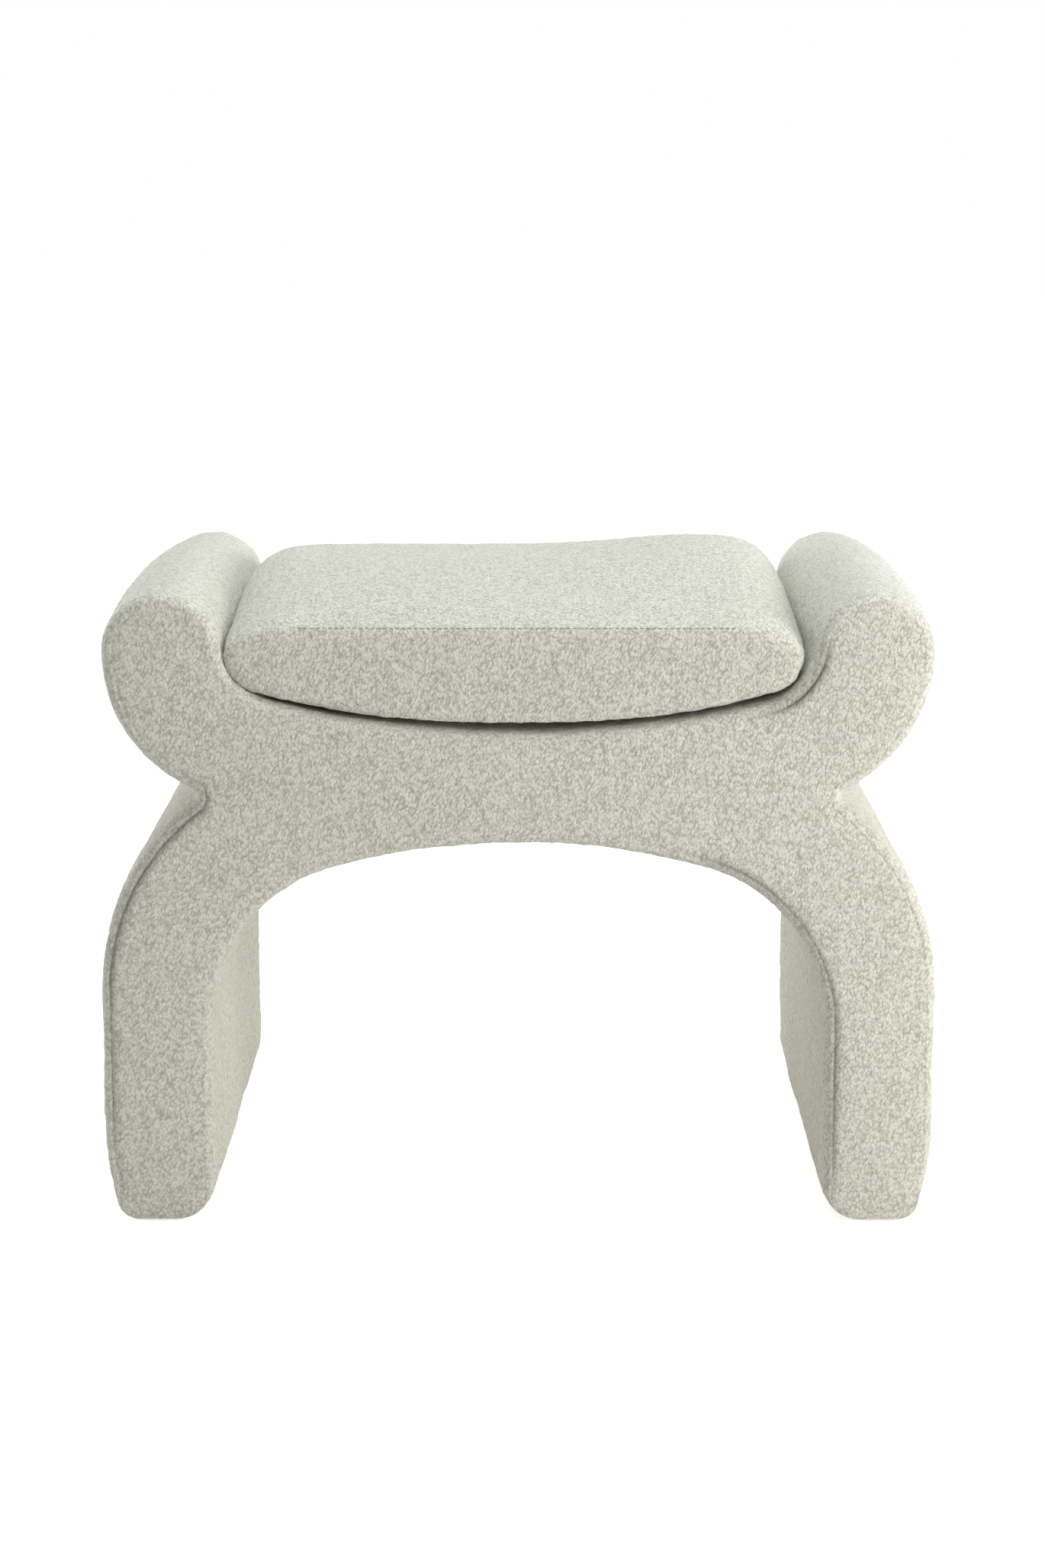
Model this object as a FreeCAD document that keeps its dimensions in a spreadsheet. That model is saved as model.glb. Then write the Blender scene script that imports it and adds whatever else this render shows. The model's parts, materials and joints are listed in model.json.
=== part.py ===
import FreeCAD, Part
import math
import os
import Sketcher

# A bouclé pouf: an upholstered curule stool with two side rolls and a loose seat cushion.
# Millimetres, +Z up, front at -Y, origin on the floor under the middle of the stool.

doc = FreeCAD.newDocument("Pouf")
sheet = doc.addObject("Spreadsheet::Sheet", "Sizes")

SIZES = [
    # Outline of the upholstered stool, seen from the front, half widths from the middle
    ("depth", 450),
    ("leg_outer", 328),
    ("leg_inner", 241),
    ("arch_height", 304),
    ("arch_radius", 558),
    ("arch_corner_radius", 134),
    ("shoulder_radius", 240),
    ("waist_half_width", 256),
    ("waist_height", 348),
    ("waist_radius", 6),
    ("under_roll_radius", 113),
    ("roll_half_spacing", 275),
    ("roll_height", 456),
    ("roll_radius", 47),
    ("roll_fillet_radius", 50),
    ("saddle_height", 397),
    ("saddle_radius", 800),
    ("foot_inner_radius", 20),
    ("foot_outer_radius", 18),
    ("foot_taper_radius", 220),
    ("foot_taper_height", 75),
    ("edge_bevel", 5),
    ("seam_inset", 4.9),
    # Layers from the outside in
    ("cover_thickness", 3),
    ("wrap_foam_thickness", 15),
    ("face_foam_thickness", 12),
    ("skin_thickness", 4),
    ("panel_thickness", 18),
    # Wooden rails between the two panels
    ("spine_rail_spacing", 95),
    ("spine_rail_width", 30),
    ("leg_rail_level", 140),
    ("leg_rail_height", 40),
    ("foot_block_height", 70),
    ("dowel_clearance", 0.2),
    # Glides under the feet
    ("glide_height", 3),
    ("glide_diameter", 24),
    ("glide_end_distance", 30),
    # Loose seat cushion
    ("cushion_setback", 15),
    ("cushion_front_height", 84),
    ("cushion_crown", 29),
    ("cushion_seat_gap", 0.4),
    ("cushion_side_gap", 11),
    ("cushion_corner_gap", 11),
    ("cushion_end_bevel", 12),
    ("cushion_edge_bevel", 5),
    ("cushion_seam_inset", 4.9),
    ("cushion_cover_thickness", 3),
    ("fibre_thickness", 12),
    # Zip along the back of the cushion
    ("zip_level", 43),
    ("zip_slot_width", 8),
    ("zip_tape_thickness", 1),
    ("zip_half_length", 180),
    ("zip_teeth_width", 4),
    ("zip_teeth_height", 2.5),
    ("zip_stop_length", 3),
    ("zip_stop_width", 6),
    ("zip_slider_length", 12),
    ("zip_slider_wall", 1.4),
    ("zip_clearance", 0.3),
]
for row, (alias, value) in enumerate(SIZES, start=1):
    sheet.set(f"A{row}", alias)
    sheet.set(f"B{row}", str(value))
    sheet.setAlias(f"B{row}", alias)
doc.recompute()


def size(*aliases):
    """Sum of the named sizes."""
    return sum(float(sheet.get(alias)) for alias in aliases)


def cells(*aliases):
    """Expression for the sum of the named sizes."""
    return " + ".join(f"Sizes.{alias}" for alias in aliases) or "0"


def plane(body, role):
    """One of a body's own origin planes."""
    return next(item for item in body.Origin.OriginFeatures if item.Role == role)


def meet(first, first_reach, second, second_reach, side):
    """Point at two given distances from two centres, on the left (1) or right (-1) of their line."""
    gap_x, gap_z = second[0] - first[0], second[1] - first[1]
    gap = math.hypot(gap_x, gap_z)
    along = (first_reach ** 2 - second_reach ** 2 + gap ** 2) / (2 * gap)
    across = math.sqrt(first_reach ** 2 - along ** 2) * side
    return (first[0] + (along * gap_x - across * gap_z) / gap,
            first[1] + (along * gap_z + across * gap_x) / gap)


def toward(centre, target, reach):
    """Point at a given distance from a centre in the direction of a target."""
    run = math.hypot(target[0] - centre[0], target[1] - centre[1])
    return (centre[0] + (target[0] - centre[0]) * reach / run,
            centre[1] + (target[1] - centre[1]) * reach / run)


# Share of its drawing in by which an outline's slanted corner gets shorter
CORNER_TRIM = 2 - math.sqrt(2)


class Chain:
    """A closed run of lines and arcs in a sketch, drawn with the solid on its left."""

    def __init__(self, body, name, forward="0", role="XZ_Plane"):
        self.sketch = body.newObject("Sketcher::SketchObject", name)
        self.sketch.AttachmentSupport = (plane(body, role), [""])
        self.sketch.MapMode = "FlatFace"
        self.sketch.setExpression("AttachmentOffset.Base.z", forward)
        self.ends = []

    def line(self, start, end):
        vectors = [FreeCAD.Vector(*point, 0) for point in (start, end)]
        self.ends.append((self.sketch.addGeometry(Part.LineSegment(*vectors)), 1, 2))
        return self.ends[-1][0]

    def arc(self, centre, start, end, bulges, radius):
        """An arc that bulges out of the solid or is hollowed into it, its radius bound to an expression."""
        first, last = (start, end) if bulges else (end, start)
        angles = [math.atan2(point[1] - centre[1], point[0] - centre[0]) for point in (first, last)]
        reach = math.hypot(start[0] - centre[0], start[1] - centre[1])
        circle = Part.Circle(FreeCAD.Vector(*centre, 0), FreeCAD.Vector(0, 0, 1), reach)
        index = self.sketch.addGeometry(Part.ArcOfCircle(circle, *angles))
        self.ends.append((index, 1, 2) if bulges else (index, 2, 1))
        self.bind(Sketcher.Constraint("Radius", index, reach), radius)
        return index

    def bind(self, constraint, expression):
        self.sketch.setExpression(f"Constraints[{self.sketch.addConstraint(constraint)}]", expression)

    def place(self, index, point, across=None, up=None):
        """Fix a point's distance from the middle and its height."""
        for kind, expression in (("DistanceX", across), ("DistanceY", up)):
            if expression is not None:
                here = self.sketch.getPoint(index, point)
                reach = here.x if kind == "DistanceX" else here.y
                self.bind(Sketcher.Constraint(kind, -1, 1, index, point, reach), expression)

    def join(self, corners):
        """Close the run, smooth at every joint but the listed ones."""
        for here, (index, head, tail) in enumerate(self.ends):
            following, start, _ = self.ends[(here + 1) % len(self.ends)]
            kind = "Coincident" if here in corners else "Tangent"
            self.sketch.addConstraint(Sketcher.Constraint(kind, index, tail, following, start))


def stool_outline(body, name, forward, layers=(), base=("glide_height",), rounded_feet=True):
    """Right half of the stool's outline, drawn in by the named layers."""
    inset = size(*layers)
    shrink = " - (" + cells(*layers) + ")"
    grow = " + " + cells(*layers)
    roll_reach = size("roll_radius")

    arch = (0, size("arch_height") - size("arch_radius"))
    corner_x = size("leg_inner") - size("arch_corner_radius")
    corner_reach = size("arch_radius") - size("arch_corner_radius")
    corner = (corner_x, arch[1] + math.sqrt(corner_reach ** 2 - corner_x ** 2))
    waist = (size("waist_half_width"), size("waist_height"))
    shoulder_x = size("leg_outer") - size("shoulder_radius")
    shoulder_reach = size("shoulder_radius", "waist_radius")
    shoulder = (shoulder_x, waist[1] - math.sqrt(shoulder_reach ** 2 - (shoulder_x - waist[0]) ** 2))
    roll = (size("roll_half_spacing"), size("roll_height"))
    under = meet(waist, size("under_roll_radius", "waist_radius"),
                 roll, size("under_roll_radius") - roll_reach, 1)
    saddle = (0, size("saddle_height", "saddle_radius"))
    fillet = meet(saddle, size("saddle_radius") - size("roll_fillet_radius"),
                  roll, roll_reach + size("roll_fillet_radius"), -1)

    inner_x = size("leg_inner") + inset
    outer_x = size("leg_outer") - inset
    floor = size(*base)
    arch_top = (0, size("arch_height") + inset)
    arch_end = toward(arch, corner, size("arch_radius") + inset)
    inner_top = (inner_x, corner[1])
    outer_top = (outer_x, shoulder[1])
    waist_low = toward(waist, shoulder, size("waist_radius") + inset)
    waist_high = toward(waist, under, size("waist_radius") + inset)
    roll_low = toward(roll, under, inset - roll_reach)
    roll_top = (roll[0], roll[1] + roll_reach - inset)
    roll_end = toward(roll, fillet, roll_reach - inset)
    saddle_end = toward(saddle, fillet, size("saddle_radius") + inset)
    saddle_low = (0, size("saddle_height") - inset)

    chain = Chain(body, name, forward)
    arch_arc = chain.arc(arch, arch_top, arch_end, False, "Sizes.arch_radius" + grow)
    chain.arc(corner, arch_end, inner_top, False, "Sizes.arch_corner_radius" + grow)
    corners = []
    if rounded_feet:
        inner_reach = size("foot_inner_radius") - inset
        outer_reach = size("foot_outer_radius") - inset
        taper = (size("leg_outer") - size("foot_taper_radius"), size("foot_taper_height"))
        toe_z = floor + outer_reach
        toe_reach = size("foot_taper_radius") - size("foot_outer_radius")
        toe = (taper[0] + math.sqrt(toe_reach ** 2 - (toe_z - taper[1]) ** 2), toe_z)
        heel = (inner_x + inner_reach, floor + inner_reach)
        toe_top = toward(taper, toe, size("foot_taper_radius") - inset)
        inner_line = chain.line(inner_top, (inner_x, heel[1]))
        chain.arc(heel, (inner_x, heel[1]), (heel[0], floor), True, "Sizes.foot_inner_radius" + shrink)
        sole = chain.line((heel[0], floor), (toe[0], floor))
        chain.arc(toe, (toe[0], floor), toe_top, True, "Sizes.foot_outer_radius" + shrink)
        taper_arc = chain.arc(taper, toe_top, (outer_x, taper[1]), True, "Sizes.foot_taper_radius" + shrink)
        outer_line = chain.line((outer_x, taper[1]), outer_top)
        chain.place(taper_arc, 2, up="Sizes.foot_taper_height")
    else:
        inner_line = chain.line(inner_top, (inner_x, floor))
        sole = chain.line((inner_x, floor), (outer_x, floor))
        outer_line = chain.line((outer_x, floor), outer_top)
        corners += [2, 3]
    chain.arc(shoulder, outer_top, waist_low, True, "Sizes.shoulder_radius" + shrink)
    waist_arc = chain.arc(waist, waist_low, waist_high, False, "Sizes.waist_radius" + grow)
    chain.arc(under, waist_high, roll_low, True, "Sizes.under_roll_radius" + shrink)
    roll_arc = chain.arc(roll, roll_low, roll_top, True, "Sizes.roll_radius" + shrink)
    crown_arc = chain.arc(roll, roll_top, roll_end, True, "Sizes.roll_radius" + shrink)
    chain.arc(fillet, roll_end, saddle_end, False, "Sizes.roll_fillet_radius" + grow)
    saddle_arc = chain.arc(saddle, saddle_end, saddle_low, False, "Sizes.saddle_radius" + grow)
    last = chain.line(saddle_low, arch_top)
    corners += [last - 1, last]
    chain.join(corners)
    for constraint in (
        Sketcher.Constraint("Vertical", inner_line),
        Sketcher.Constraint("Horizontal", sole),
        Sketcher.Constraint("Vertical", outer_line),
        Sketcher.Constraint("PointOnObject", arch_arc, 3, -2),
        Sketcher.Constraint("PointOnObject", arch_arc, 2, -2),
        Sketcher.Constraint("PointOnObject", saddle_arc, 3, -2),
        Sketcher.Constraint("PointOnObject", saddle_arc, 1, -2),
        Sketcher.Constraint("Vertical", crown_arc, 3, crown_arc, 1),
    ):
        chain.sketch.addConstraint(constraint)
    chain.place(arch_arc, 2, up="Sizes.arch_height" + grow)
    chain.place(inner_line, 2, across="Sizes.leg_inner" + grow)
    chain.place(sole, 1, up=cells(*base))
    chain.place(outer_line, 1, across="Sizes.leg_outer" + shrink)
    chain.place(waist_arc, 3, "Sizes.waist_half_width", "Sizes.waist_height")
    chain.place(roll_arc, 3, "Sizes.roll_half_spacing", "Sizes.roll_height")
    chain.place(saddle_arc, 1, up="Sizes.saddle_height" + shrink)
    return chain.sketch


def cushion_outline(body, name, forward, layers=(), rise=(), sloped=False):
    """Right half of the cushion's outline, drawn in by the named layers: an underside that lies in
    the saddle, a rounded lower end and an upright side up to a flat top, lifted by the named rise.
    A sloped outline has its top corner taken off, parallel to the cushion's own."""
    inset = size(*layers)
    shrink = " - (" + cells(*layers) + ")"
    low_reach = size("roll_fillet_radius") - size("cushion_corner_gap")
    side_x = size("roll_half_spacing") - size("roll_radius", "cushion_side_gap")
    side = "Sizes.roll_half_spacing - (" + cells("roll_radius", "cushion_side_gap") + ")"
    top_z = size("saddle_height", "cushion_front_height", *rise)
    saddle = (0, size("saddle_height", "saddle_radius"))
    seat_reach = size("saddle_radius") - size("cushion_seat_gap")
    low_x = side_x - low_reach
    low = (low_x, saddle[1] - math.sqrt((seat_reach - low_reach) ** 2 - low_x ** 2))

    bottom = (0, saddle[1] - seat_reach + inset)
    bottom_end = toward(saddle, low, seat_reach - inset)
    trim = size("cushion_end_bevel") - CORNER_TRIM * inset if sloped else 0
    side_low = (side_x - inset, low[1])
    side_high = (side_x - inset, top_z - inset - trim)
    top_end = (side_x - inset - trim, top_z - inset)
    top_middle = (0, top_z - inset)

    chain = Chain(body, name, forward)
    seat_arc = chain.arc(saddle, bottom, bottom_end, True,
                         "Sizes.saddle_radius - Sizes.cushion_seat_gap" + shrink)
    chain.arc(low, bottom_end, side_low, True,
              "Sizes.roll_fillet_radius - Sizes.cushion_corner_gap" + shrink)
    side_line = chain.line(side_low, side_high)
    corners = [side_line]
    if sloped:
        corners.append(chain.line(side_high, top_end))
    top_line = chain.line(top_end, top_middle)
    last = chain.line(top_middle, bottom)
    chain.join([*corners, top_line, last])
    for constraint in (
        Sketcher.Constraint("PointOnObject", seat_arc, 3, -2),
        Sketcher.Constraint("PointOnObject", seat_arc, 1, -2),
        Sketcher.Constraint("Vertical", side_line),
        Sketcher.Constraint("Horizontal", top_line),
        Sketcher.Constraint("Vertical", last),
    ):
        chain.sketch.addConstraint(constraint)
    chain.place(seat_arc, 3, up=cells("saddle_height", "saddle_radius"))
    chain.place(side_line, 1, across=side + shrink)
    top = cells("saddle_height", "cushion_front_height", *rise) + shrink
    chain.place(top_line, 1, up=top)
    if sloped:
        trimmed = f" - (Sizes.cushion_end_bevel - {CORNER_TRIM} * ({cells(*layers)}))"
        chain.place(side_line, 2, up=top + trimmed)
        chain.place(top_line, 1, across=side + shrink + trimmed)
    return chain.sketch


def new_body(name):
    body = doc.addObject("PartDesign::Body", name)
    body.Label = name
    return body


def mirror(body, feature):
    """Add the left half to a right half."""
    mirrored = body.newObject("PartDesign::Mirrored", body.Name + "_halves")
    mirrored.Originals = [feature]
    mirrored.MirrorPlane = (plane(body, "YZ_Plane"), [""])
    body.Tip = mirrored
    return mirrored


def pad(body, sketch, length, symmetric=False, backward=False):
    """Give a sketch its thickness, to both sides of its plane, or from it to the front or the back."""
    feature = body.newObject("PartDesign::Pad", body.Name + "_pad")
    feature.Profile = sketch
    feature.setExpression("Length", length)
    feature.Midplane = symmetric
    feature.Reversed = backward
    body.Tip = feature
    return feature


def bevel(body, name, feature, references, width):
    """Take the corner off the edges of a feature, or all the edges of its faces."""
    slope = body.newObject("PartDesign::Chamfer", f"{body.Name}_{name}")
    slope.Base = (feature, references)
    slope.setExpression("Size", width)
    body.Tip = slope
    return slope


def end_faces(feature):
    """Names of the flat faces at a feature's front and rear."""
    doc.recompute()
    return [f"Face{number}" for number, face in enumerate(feature.Shape.Faces, start=1)
            if abs(face.normalAt(0, 0).y) > 0.999]


def block(name, across, along, up):
    """A box from its least corner and size along X, Y and Z, given as pairs of expressions."""
    box = doc.addObject("Part::Box", name)
    for axis, side, (corner, extent) in zip("xyz", ("Length", "Width", "Height"), (across, along, up)):
        box.setExpression(f"Placement.Base.{axis}", corner)
        box.setExpression(side, extent)
    return box


def rod(name, radius, across, along, up, length):
    """A round bar along +Y from the given point."""
    bar = doc.addObject("Part::Cylinder", name)
    bar.Placement = FreeCAD.Placement(FreeCAD.Vector(), FreeCAD.Rotation(FreeCAD.Vector(1, 0, 0), -90))
    bar.setExpression("Radius", radius)
    bar.setExpression("Height", length)
    for axis, place in zip("xyz", (across, along, up)):
        bar.setExpression(f"Placement.Base.{axis}", place)
    return bar


def cut(name, base, *tools):
    for number, tool in enumerate(tools, start=1):
        step = doc.addObject("Part::Cut", name if number == len(tools) else f"{name}_cut_{number}")
        step.Base = base
        step.Tool = tool
        base = step
    return base


def common(name, base, tool):
    both = doc.addObject("Part::Common", name)
    both.Base = base
    both.Tool = tool
    return both


pieces = []


def piece(shape):
    """Count a finished object as one of the pouf's pieces, under its own name."""
    shape.Label = shape.Name
    pieces.append(shape)
    return shape


# Places that several pieces share

COVER = ("cover_thickness",)
FOAM = ("cover_thickness", "wrap_foam_thickness")
SKIN = ("cover_thickness", "wrap_foam_thickness", "skin_thickness")
FOAM_BASE = ("glide_height", "cover_thickness")
FRAME_BASE = ("glide_height", "cover_thickness", "wrap_foam_thickness")
SIDES = (("left", -1), ("right", 1))
ENDS = (("front", -1), ("rear", 1))

half_depth = "Sizes.depth / 2"
frame_half_depth = "(Sizes.depth / 2 - Sizes.cover_thickness - Sizes.face_foam_thickness)"
span_half = f"({frame_half_depth} - Sizes.panel_thickness)"
leg_middle = "(Sizes.leg_inner + Sizes.leg_outer) / 2"
core_inner = "(Sizes.leg_inner + " + cells(*SKIN) + ")"
core_width = f"(Sizes.leg_outer - Sizes.leg_inner - 2 * ({cells(*SKIN)}))"
everywhere = ("-2 * Sizes.leg_outer", "4 * Sizes.leg_outer")
all_depth = ("-Sizes.depth", "2 * Sizes.depth")
all_height = ("-Sizes.roll_height", "3 * Sizes.roll_height")

# Nested forms of the stool: cover, foam, bent skins and panel core


def stool_form(name, layers, base):
    """The stool's padded shape, drawn in by the named layers; the outermost has its edges taken off."""
    body = new_body(name)
    inward = f" - ({cells(*layers)})"
    sketch = stool_outline(body, name + "_outline", "0", layers, base)
    halves = mirror(body, pad(body, sketch, f"2 * ({half_depth}{inward})", symmetric=True))
    if not layers:
        bevel(body, "edges", halves, end_faces(halves), "Sizes.edge_bevel")
    return body


def frame_form(name, layers):
    body = new_body(name)
    sketch = stool_outline(body, name + "_outline", "0", layers, FRAME_BASE, rounded_feet=False)
    mirror(body, pad(body, sketch, f"2 * {frame_half_depth}", symmetric=True))
    return body


cover_form = stool_form("cover_form", (), ("glide_height",))
foam_form = stool_form("foam_form", COVER, FOAM_BASE)
skin_form = frame_form("skin_form", FOAM)
core_form = frame_form("core_form", SKIN)

# Wooden frame: two profiled panels joined by rails, roll dowels and foot blocks

for end, way in ENDS:
    panel = new_body(f"{end}_frame_panel")
    outline = stool_outline(panel, f"{end}_panel_outline", f"{-way} * {frame_half_depth}", SKIN, FRAME_BASE,
                            rounded_feet=False)
    mirror(panel, pad(panel, outline, "Sizes.panel_thickness", backward=way < 0))
    piece(panel)

span = (f"-{span_half}", f"2 * {span_half}")
for number, name in enumerate(("left_outer", "left_inner", "centre", "right_inner", "right_outer"), start=-2):
    rail_start = f"{number} * Sizes.spine_rail_spacing - Sizes.spine_rail_width / 2"
    slot = block(f"{name}_rail_slot", (rail_start, "Sizes.spine_rail_width"), span, all_height)
    piece(common(f"{name}_spine_rail", core_form, slot))

foot_blocks = []
glides = doc.addObject("Part::Compound", "foot_glides")
for side, way in SIDES:
    leg_start = core_inner if way > 0 else f"-{core_inner} - {core_width}"
    half_start = "0" if way > 0 else "-2 * Sizes.leg_outer"
    slot = block(f"{side}_leg_rail_slot", (half_start, "2 * Sizes.leg_outer"), span,
                 ("Sizes.leg_rail_level", "Sizes.leg_rail_height"))
    piece(common(f"{side}_leg_rail", core_form, slot))
    piece(rod(f"{side}_roll_dowel", f"Sizes.roll_radius - ({cells(*SKIN)}) - Sizes.dowel_clearance",
              f"{way} * Sizes.roll_half_spacing", f"-{span_half}", "Sizes.roll_height", f"2 * {span_half}"))
    foot_blocks.append(piece(block(f"{side}_foot_block", (leg_start, core_width), span,
                                   ("Sizes.glide_height", "Sizes.foot_block_height"))))
    for end, depth_way in ENDS:
        glide = doc.addObject("Part::Cylinder", f"{end}_{side}_glide")
        glide.setExpression("Radius", "Sizes.glide_diameter / 2")
        glide.setExpression("Height", "Sizes.glide_height")
        glide.setExpression("Placement.Base.x", f"{way} * {leg_middle}")
        glide.setExpression("Placement.Base.y", f"{depth_way} * ({span_half} - Sizes.glide_end_distance)")
        glides.Links = glides.Links + [glide]
piece(glides)

# Strips that wrap the frame: under the arch, down each outer leg, and over the rolls and saddle

KNEE_SHARE = 2 / 3
CREST_SHARE = 3 / 4
arch_side = new_body("arch_side")
knee = (size("leg_inner", "leg_outer") / 2, size("arch_height") * KNEE_SHARE)
crest = (size("waist_half_width") * CREST_SHARE, size("arch_height", "saddle_height") / 2)
corners = [(0, 0), (knee[0], 0), knee, crest, (0, crest[1])]
chain = Chain(arch_side, "arch_side_outline")
floor_line, leg_line, slope_line, crest_line, middle_line = [
    chain.line(start, end) for start, end in zip(corners, corners[1:] + corners[:1])]
chain.join([floor_line, leg_line, slope_line, crest_line, middle_line])
for constraint in (
    Sketcher.Constraint("Coincident", floor_line, 1, -1, 1),
    Sketcher.Constraint("Horizontal", floor_line),
    Sketcher.Constraint("Vertical", leg_line),
    Sketcher.Constraint("Horizontal", crest_line),
    Sketcher.Constraint("Vertical", middle_line),
):
    chain.sketch.addConstraint(constraint)
chain.place(leg_line, 2, leg_middle, f"Sizes.arch_height * {KNEE_SHARE}")
chain.place(slope_line, 2, f"Sizes.waist_half_width * {CREST_SHARE}",
            "(Sizes.arch_height + Sizes.saddle_height) / 2")
mirror(arch_side, pad(arch_side, chain.sketch, "2 * Sizes.depth", symmetric=True))

above_waist = block("above_waist", everywhere, all_depth, ("Sizes.waist_height", "Sizes.roll_height"))
leg_sides = {
    "left": block("left_side", ("-2 * Sizes.leg_outer", "2 * Sizes.leg_outer"), all_depth,
                  ("0", "Sizes.waist_height")),
    "right": block("right_side", ("0", "2 * Sizes.leg_outer"), all_depth, ("0", "Sizes.waist_height")),
}


def strips(layer, ring):
    """Divide a ring round the frame into its arch, leg and saddle strips."""
    piece(common(f"arch_{layer}", ring, arch_side))
    outside = cut(f"outside_{layer}", ring, arch_side)
    piece(common(f"saddle_{layer}", outside, above_waist))
    for side, region in leg_sides.items():
        piece(common(f"{side}_leg_{layer}", outside, region))


strips("skin", cut("skin_ring", skin_form, core_form))

# Foam: a pad on each face of the frame and strips between them

between_faces = block("between_faces", everywhere, (f"-{frame_half_depth}", f"2 * {frame_half_depth}"),
                      all_height)
beyond = {
    "front": block("beyond_front", everywhere, ("-Sizes.depth", f"Sizes.depth - {frame_half_depth}"),
                   all_height),
    "rear": block("beyond_rear", everywhere, (frame_half_depth, "Sizes.depth"), all_height),
}
for end, region in beyond.items():
    piece(common(f"{end}_foam_pad", foam_form, region))
strips("foam", cut("foam_ring", common("foam_middle", foam_form, between_faces), skin_form, *foot_blocks))

# Cover: a flat panel sewn to the front and the rear edge of the strips

covers = []
for end, way in ENDS:
    panel = new_body(f"{end}_cover")
    outline = stool_outline(panel, f"{end}_cover_outline", f"{-way} * {half_depth}", ("seam_inset",),
                            ("glide_height", "seam_inset"))
    mirror(panel, pad(panel, outline, "Sizes.cover_thickness", backward=way < 0))
    covers.append(piece(panel))
strips("cover", cut("cover_ring", cover_form, foam_form, *covers, *foot_blocks))

# Seat cushion: foam core, fibre wrap and a zipped cover

CUSHION_COVER = ("cushion_cover_thickness",)
CUSHION_CORE = ("cushion_cover_thickness", "fibre_thickness")
CUSHION_TOP = ("saddle_height", "cushion_front_height")
BLANK_RISE = ("cushion_crown",) * 2
LID_RISE = ("cushion_crown",) * 3
cushion_half_depth = "(Sizes.depth / 2 - Sizes.cushion_setback)"


def cushion_form(name, layers):
    """The cushion's shape, drawn in by the named layers: crowned from front to back, with sloped ends."""
    body = new_body(name)
    inward = f" - ({cells(*layers)})"
    reach = f"({cushion_half_depth}{inward})"
    sketch = cushion_outline(body, name + "_outline", "0", layers, BLANK_RISE)
    mirror(body, pad(body, sketch, f"2 * {reach}", symmetric=True))

    half = size("depth") / 2 - size("cushion_setback", *layers)
    swell = size("cushion_crown")
    top_z = size(*CUSHION_TOP) - size(*layers)
    lid_z = top_z + size(*LID_RISE)
    bow = (half ** 2 + swell ** 2) / (2 * swell)
    chain = Chain(body, name + "_crown_outline", role="YZ_Plane")
    crown = chain.arc((0, top_z + swell - bow), (-half, top_z), (half, top_z), False,
                      f"({reach} ^ 2 + Sizes.cushion_crown ^ 2) / (2 * Sizes.cushion_crown)")
    rear_line = chain.line((half, top_z), (half, lid_z))
    lid_line = chain.line((half, lid_z), (-half, lid_z))
    front_line = chain.line((-half, lid_z), (-half, top_z))
    chain.join([crown, rear_line, lid_line, front_line])
    for constraint in (
        Sketcher.Constraint("Vertical", rear_line),
        Sketcher.Constraint("Horizontal", lid_line),
        Sketcher.Constraint("Vertical", front_line),
        Sketcher.Constraint("PointOnObject", crown, 3, -2),
    ):
        chain.sketch.addConstraint(constraint)
    chain.place(rear_line, 1, reach, cells(*CUSHION_TOP) + inward)
    chain.place(lid_line, 1, up=cells(*CUSHION_TOP, *LID_RISE) + inward)
    shaved = body.newObject("PartDesign::Pocket", name + "_crown")
    shaved.Profile = chain.sketch
    shaved.Type = "ThroughAll"
    shaved.Midplane = True
    body.Tip = shaved
    doc.recompute()
    crown_length = 2 * bow * math.asin(half / bow)
    ends = [f"Edge{number}" for number, edge in enumerate(shaved.Shape.Edges, start=1)
            if edge.BoundBox.XLength < 0.001 and abs(edge.Length - crown_length) < 0.001]
    if not layers:
        sloped = bevel(body, "ends", shaved, ends, "Sizes.cushion_end_bevel")
        bevel(body, "edges", sloped, end_faces(sloped), "Sizes.cushion_edge_bevel")
    return body


cushion_outside = cushion_form("cushion_outside", ())
cushion_filling = cushion_form("cushion_filling", CUSHION_COVER)
core = new_body("cushion_foam_core")
core_sketch = cushion_outline(core, "cushion_core_outline", "0", CUSHION_CORE)
mirror(core, pad(core, core_sketch, f"2 * ({cushion_half_depth} - ({cells(*CUSHION_CORE)}))", symmetric=True))
piece(core)
piece(cut("cushion_fibre_wrap", cushion_filling, core))

faces = {}
for end, way in ENDS:
    faces[end] = new_body(f"cushion_{end}_panel" if end == "front" else "cushion_rear_blank")
    outline = cushion_outline(faces[end], f"cushion_{end}_outline", f"{-way} * {cushion_half_depth}",
                              ("cushion_seam_inset",), sloped=True)
    mirror(faces[end], pad(faces[end], outline, "Sizes.cushion_cover_thickness", backward=way < 0))
piece(faces["front"])
piece(cut("cushion_wrap_cover", cushion_outside, cushion_filling, faces["front"], faces["rear"]))

# Zip: tape, teeth and stops across the rear panel, with a slider astride the teeth

zip_z = "(Sizes.saddle_height + Sizes.zip_level)"
slot_low = f"({zip_z} - Sizes.zip_slot_width / 2)"
tape_y = f"({cushion_half_depth} - Sizes.cushion_cover_thickness)"
teeth_y = f"({tape_y} + Sizes.zip_tape_thickness)"
teeth_low = f"({zip_z} - Sizes.zip_teeth_width / 2)"
above_zip = block("above_zip", everywhere, all_depth,
                  (f"{slot_low} + Sizes.zip_slot_width", "Sizes.roll_height"))
below_zip = block("below_zip", everywhere, all_depth, ("0", slot_low))
tape_slot = block("tape_slot", everywhere, (tape_y, "Sizes.zip_tape_thickness"),
                  (slot_low, "Sizes.zip_slot_width"))
piece(common("cushion_rear_upper_panel", faces["rear"], above_zip))
piece(common("cushion_rear_lower_panel", faces["rear"], below_zip))
piece(common("zip_tape", faces["rear"], tape_slot))
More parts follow.
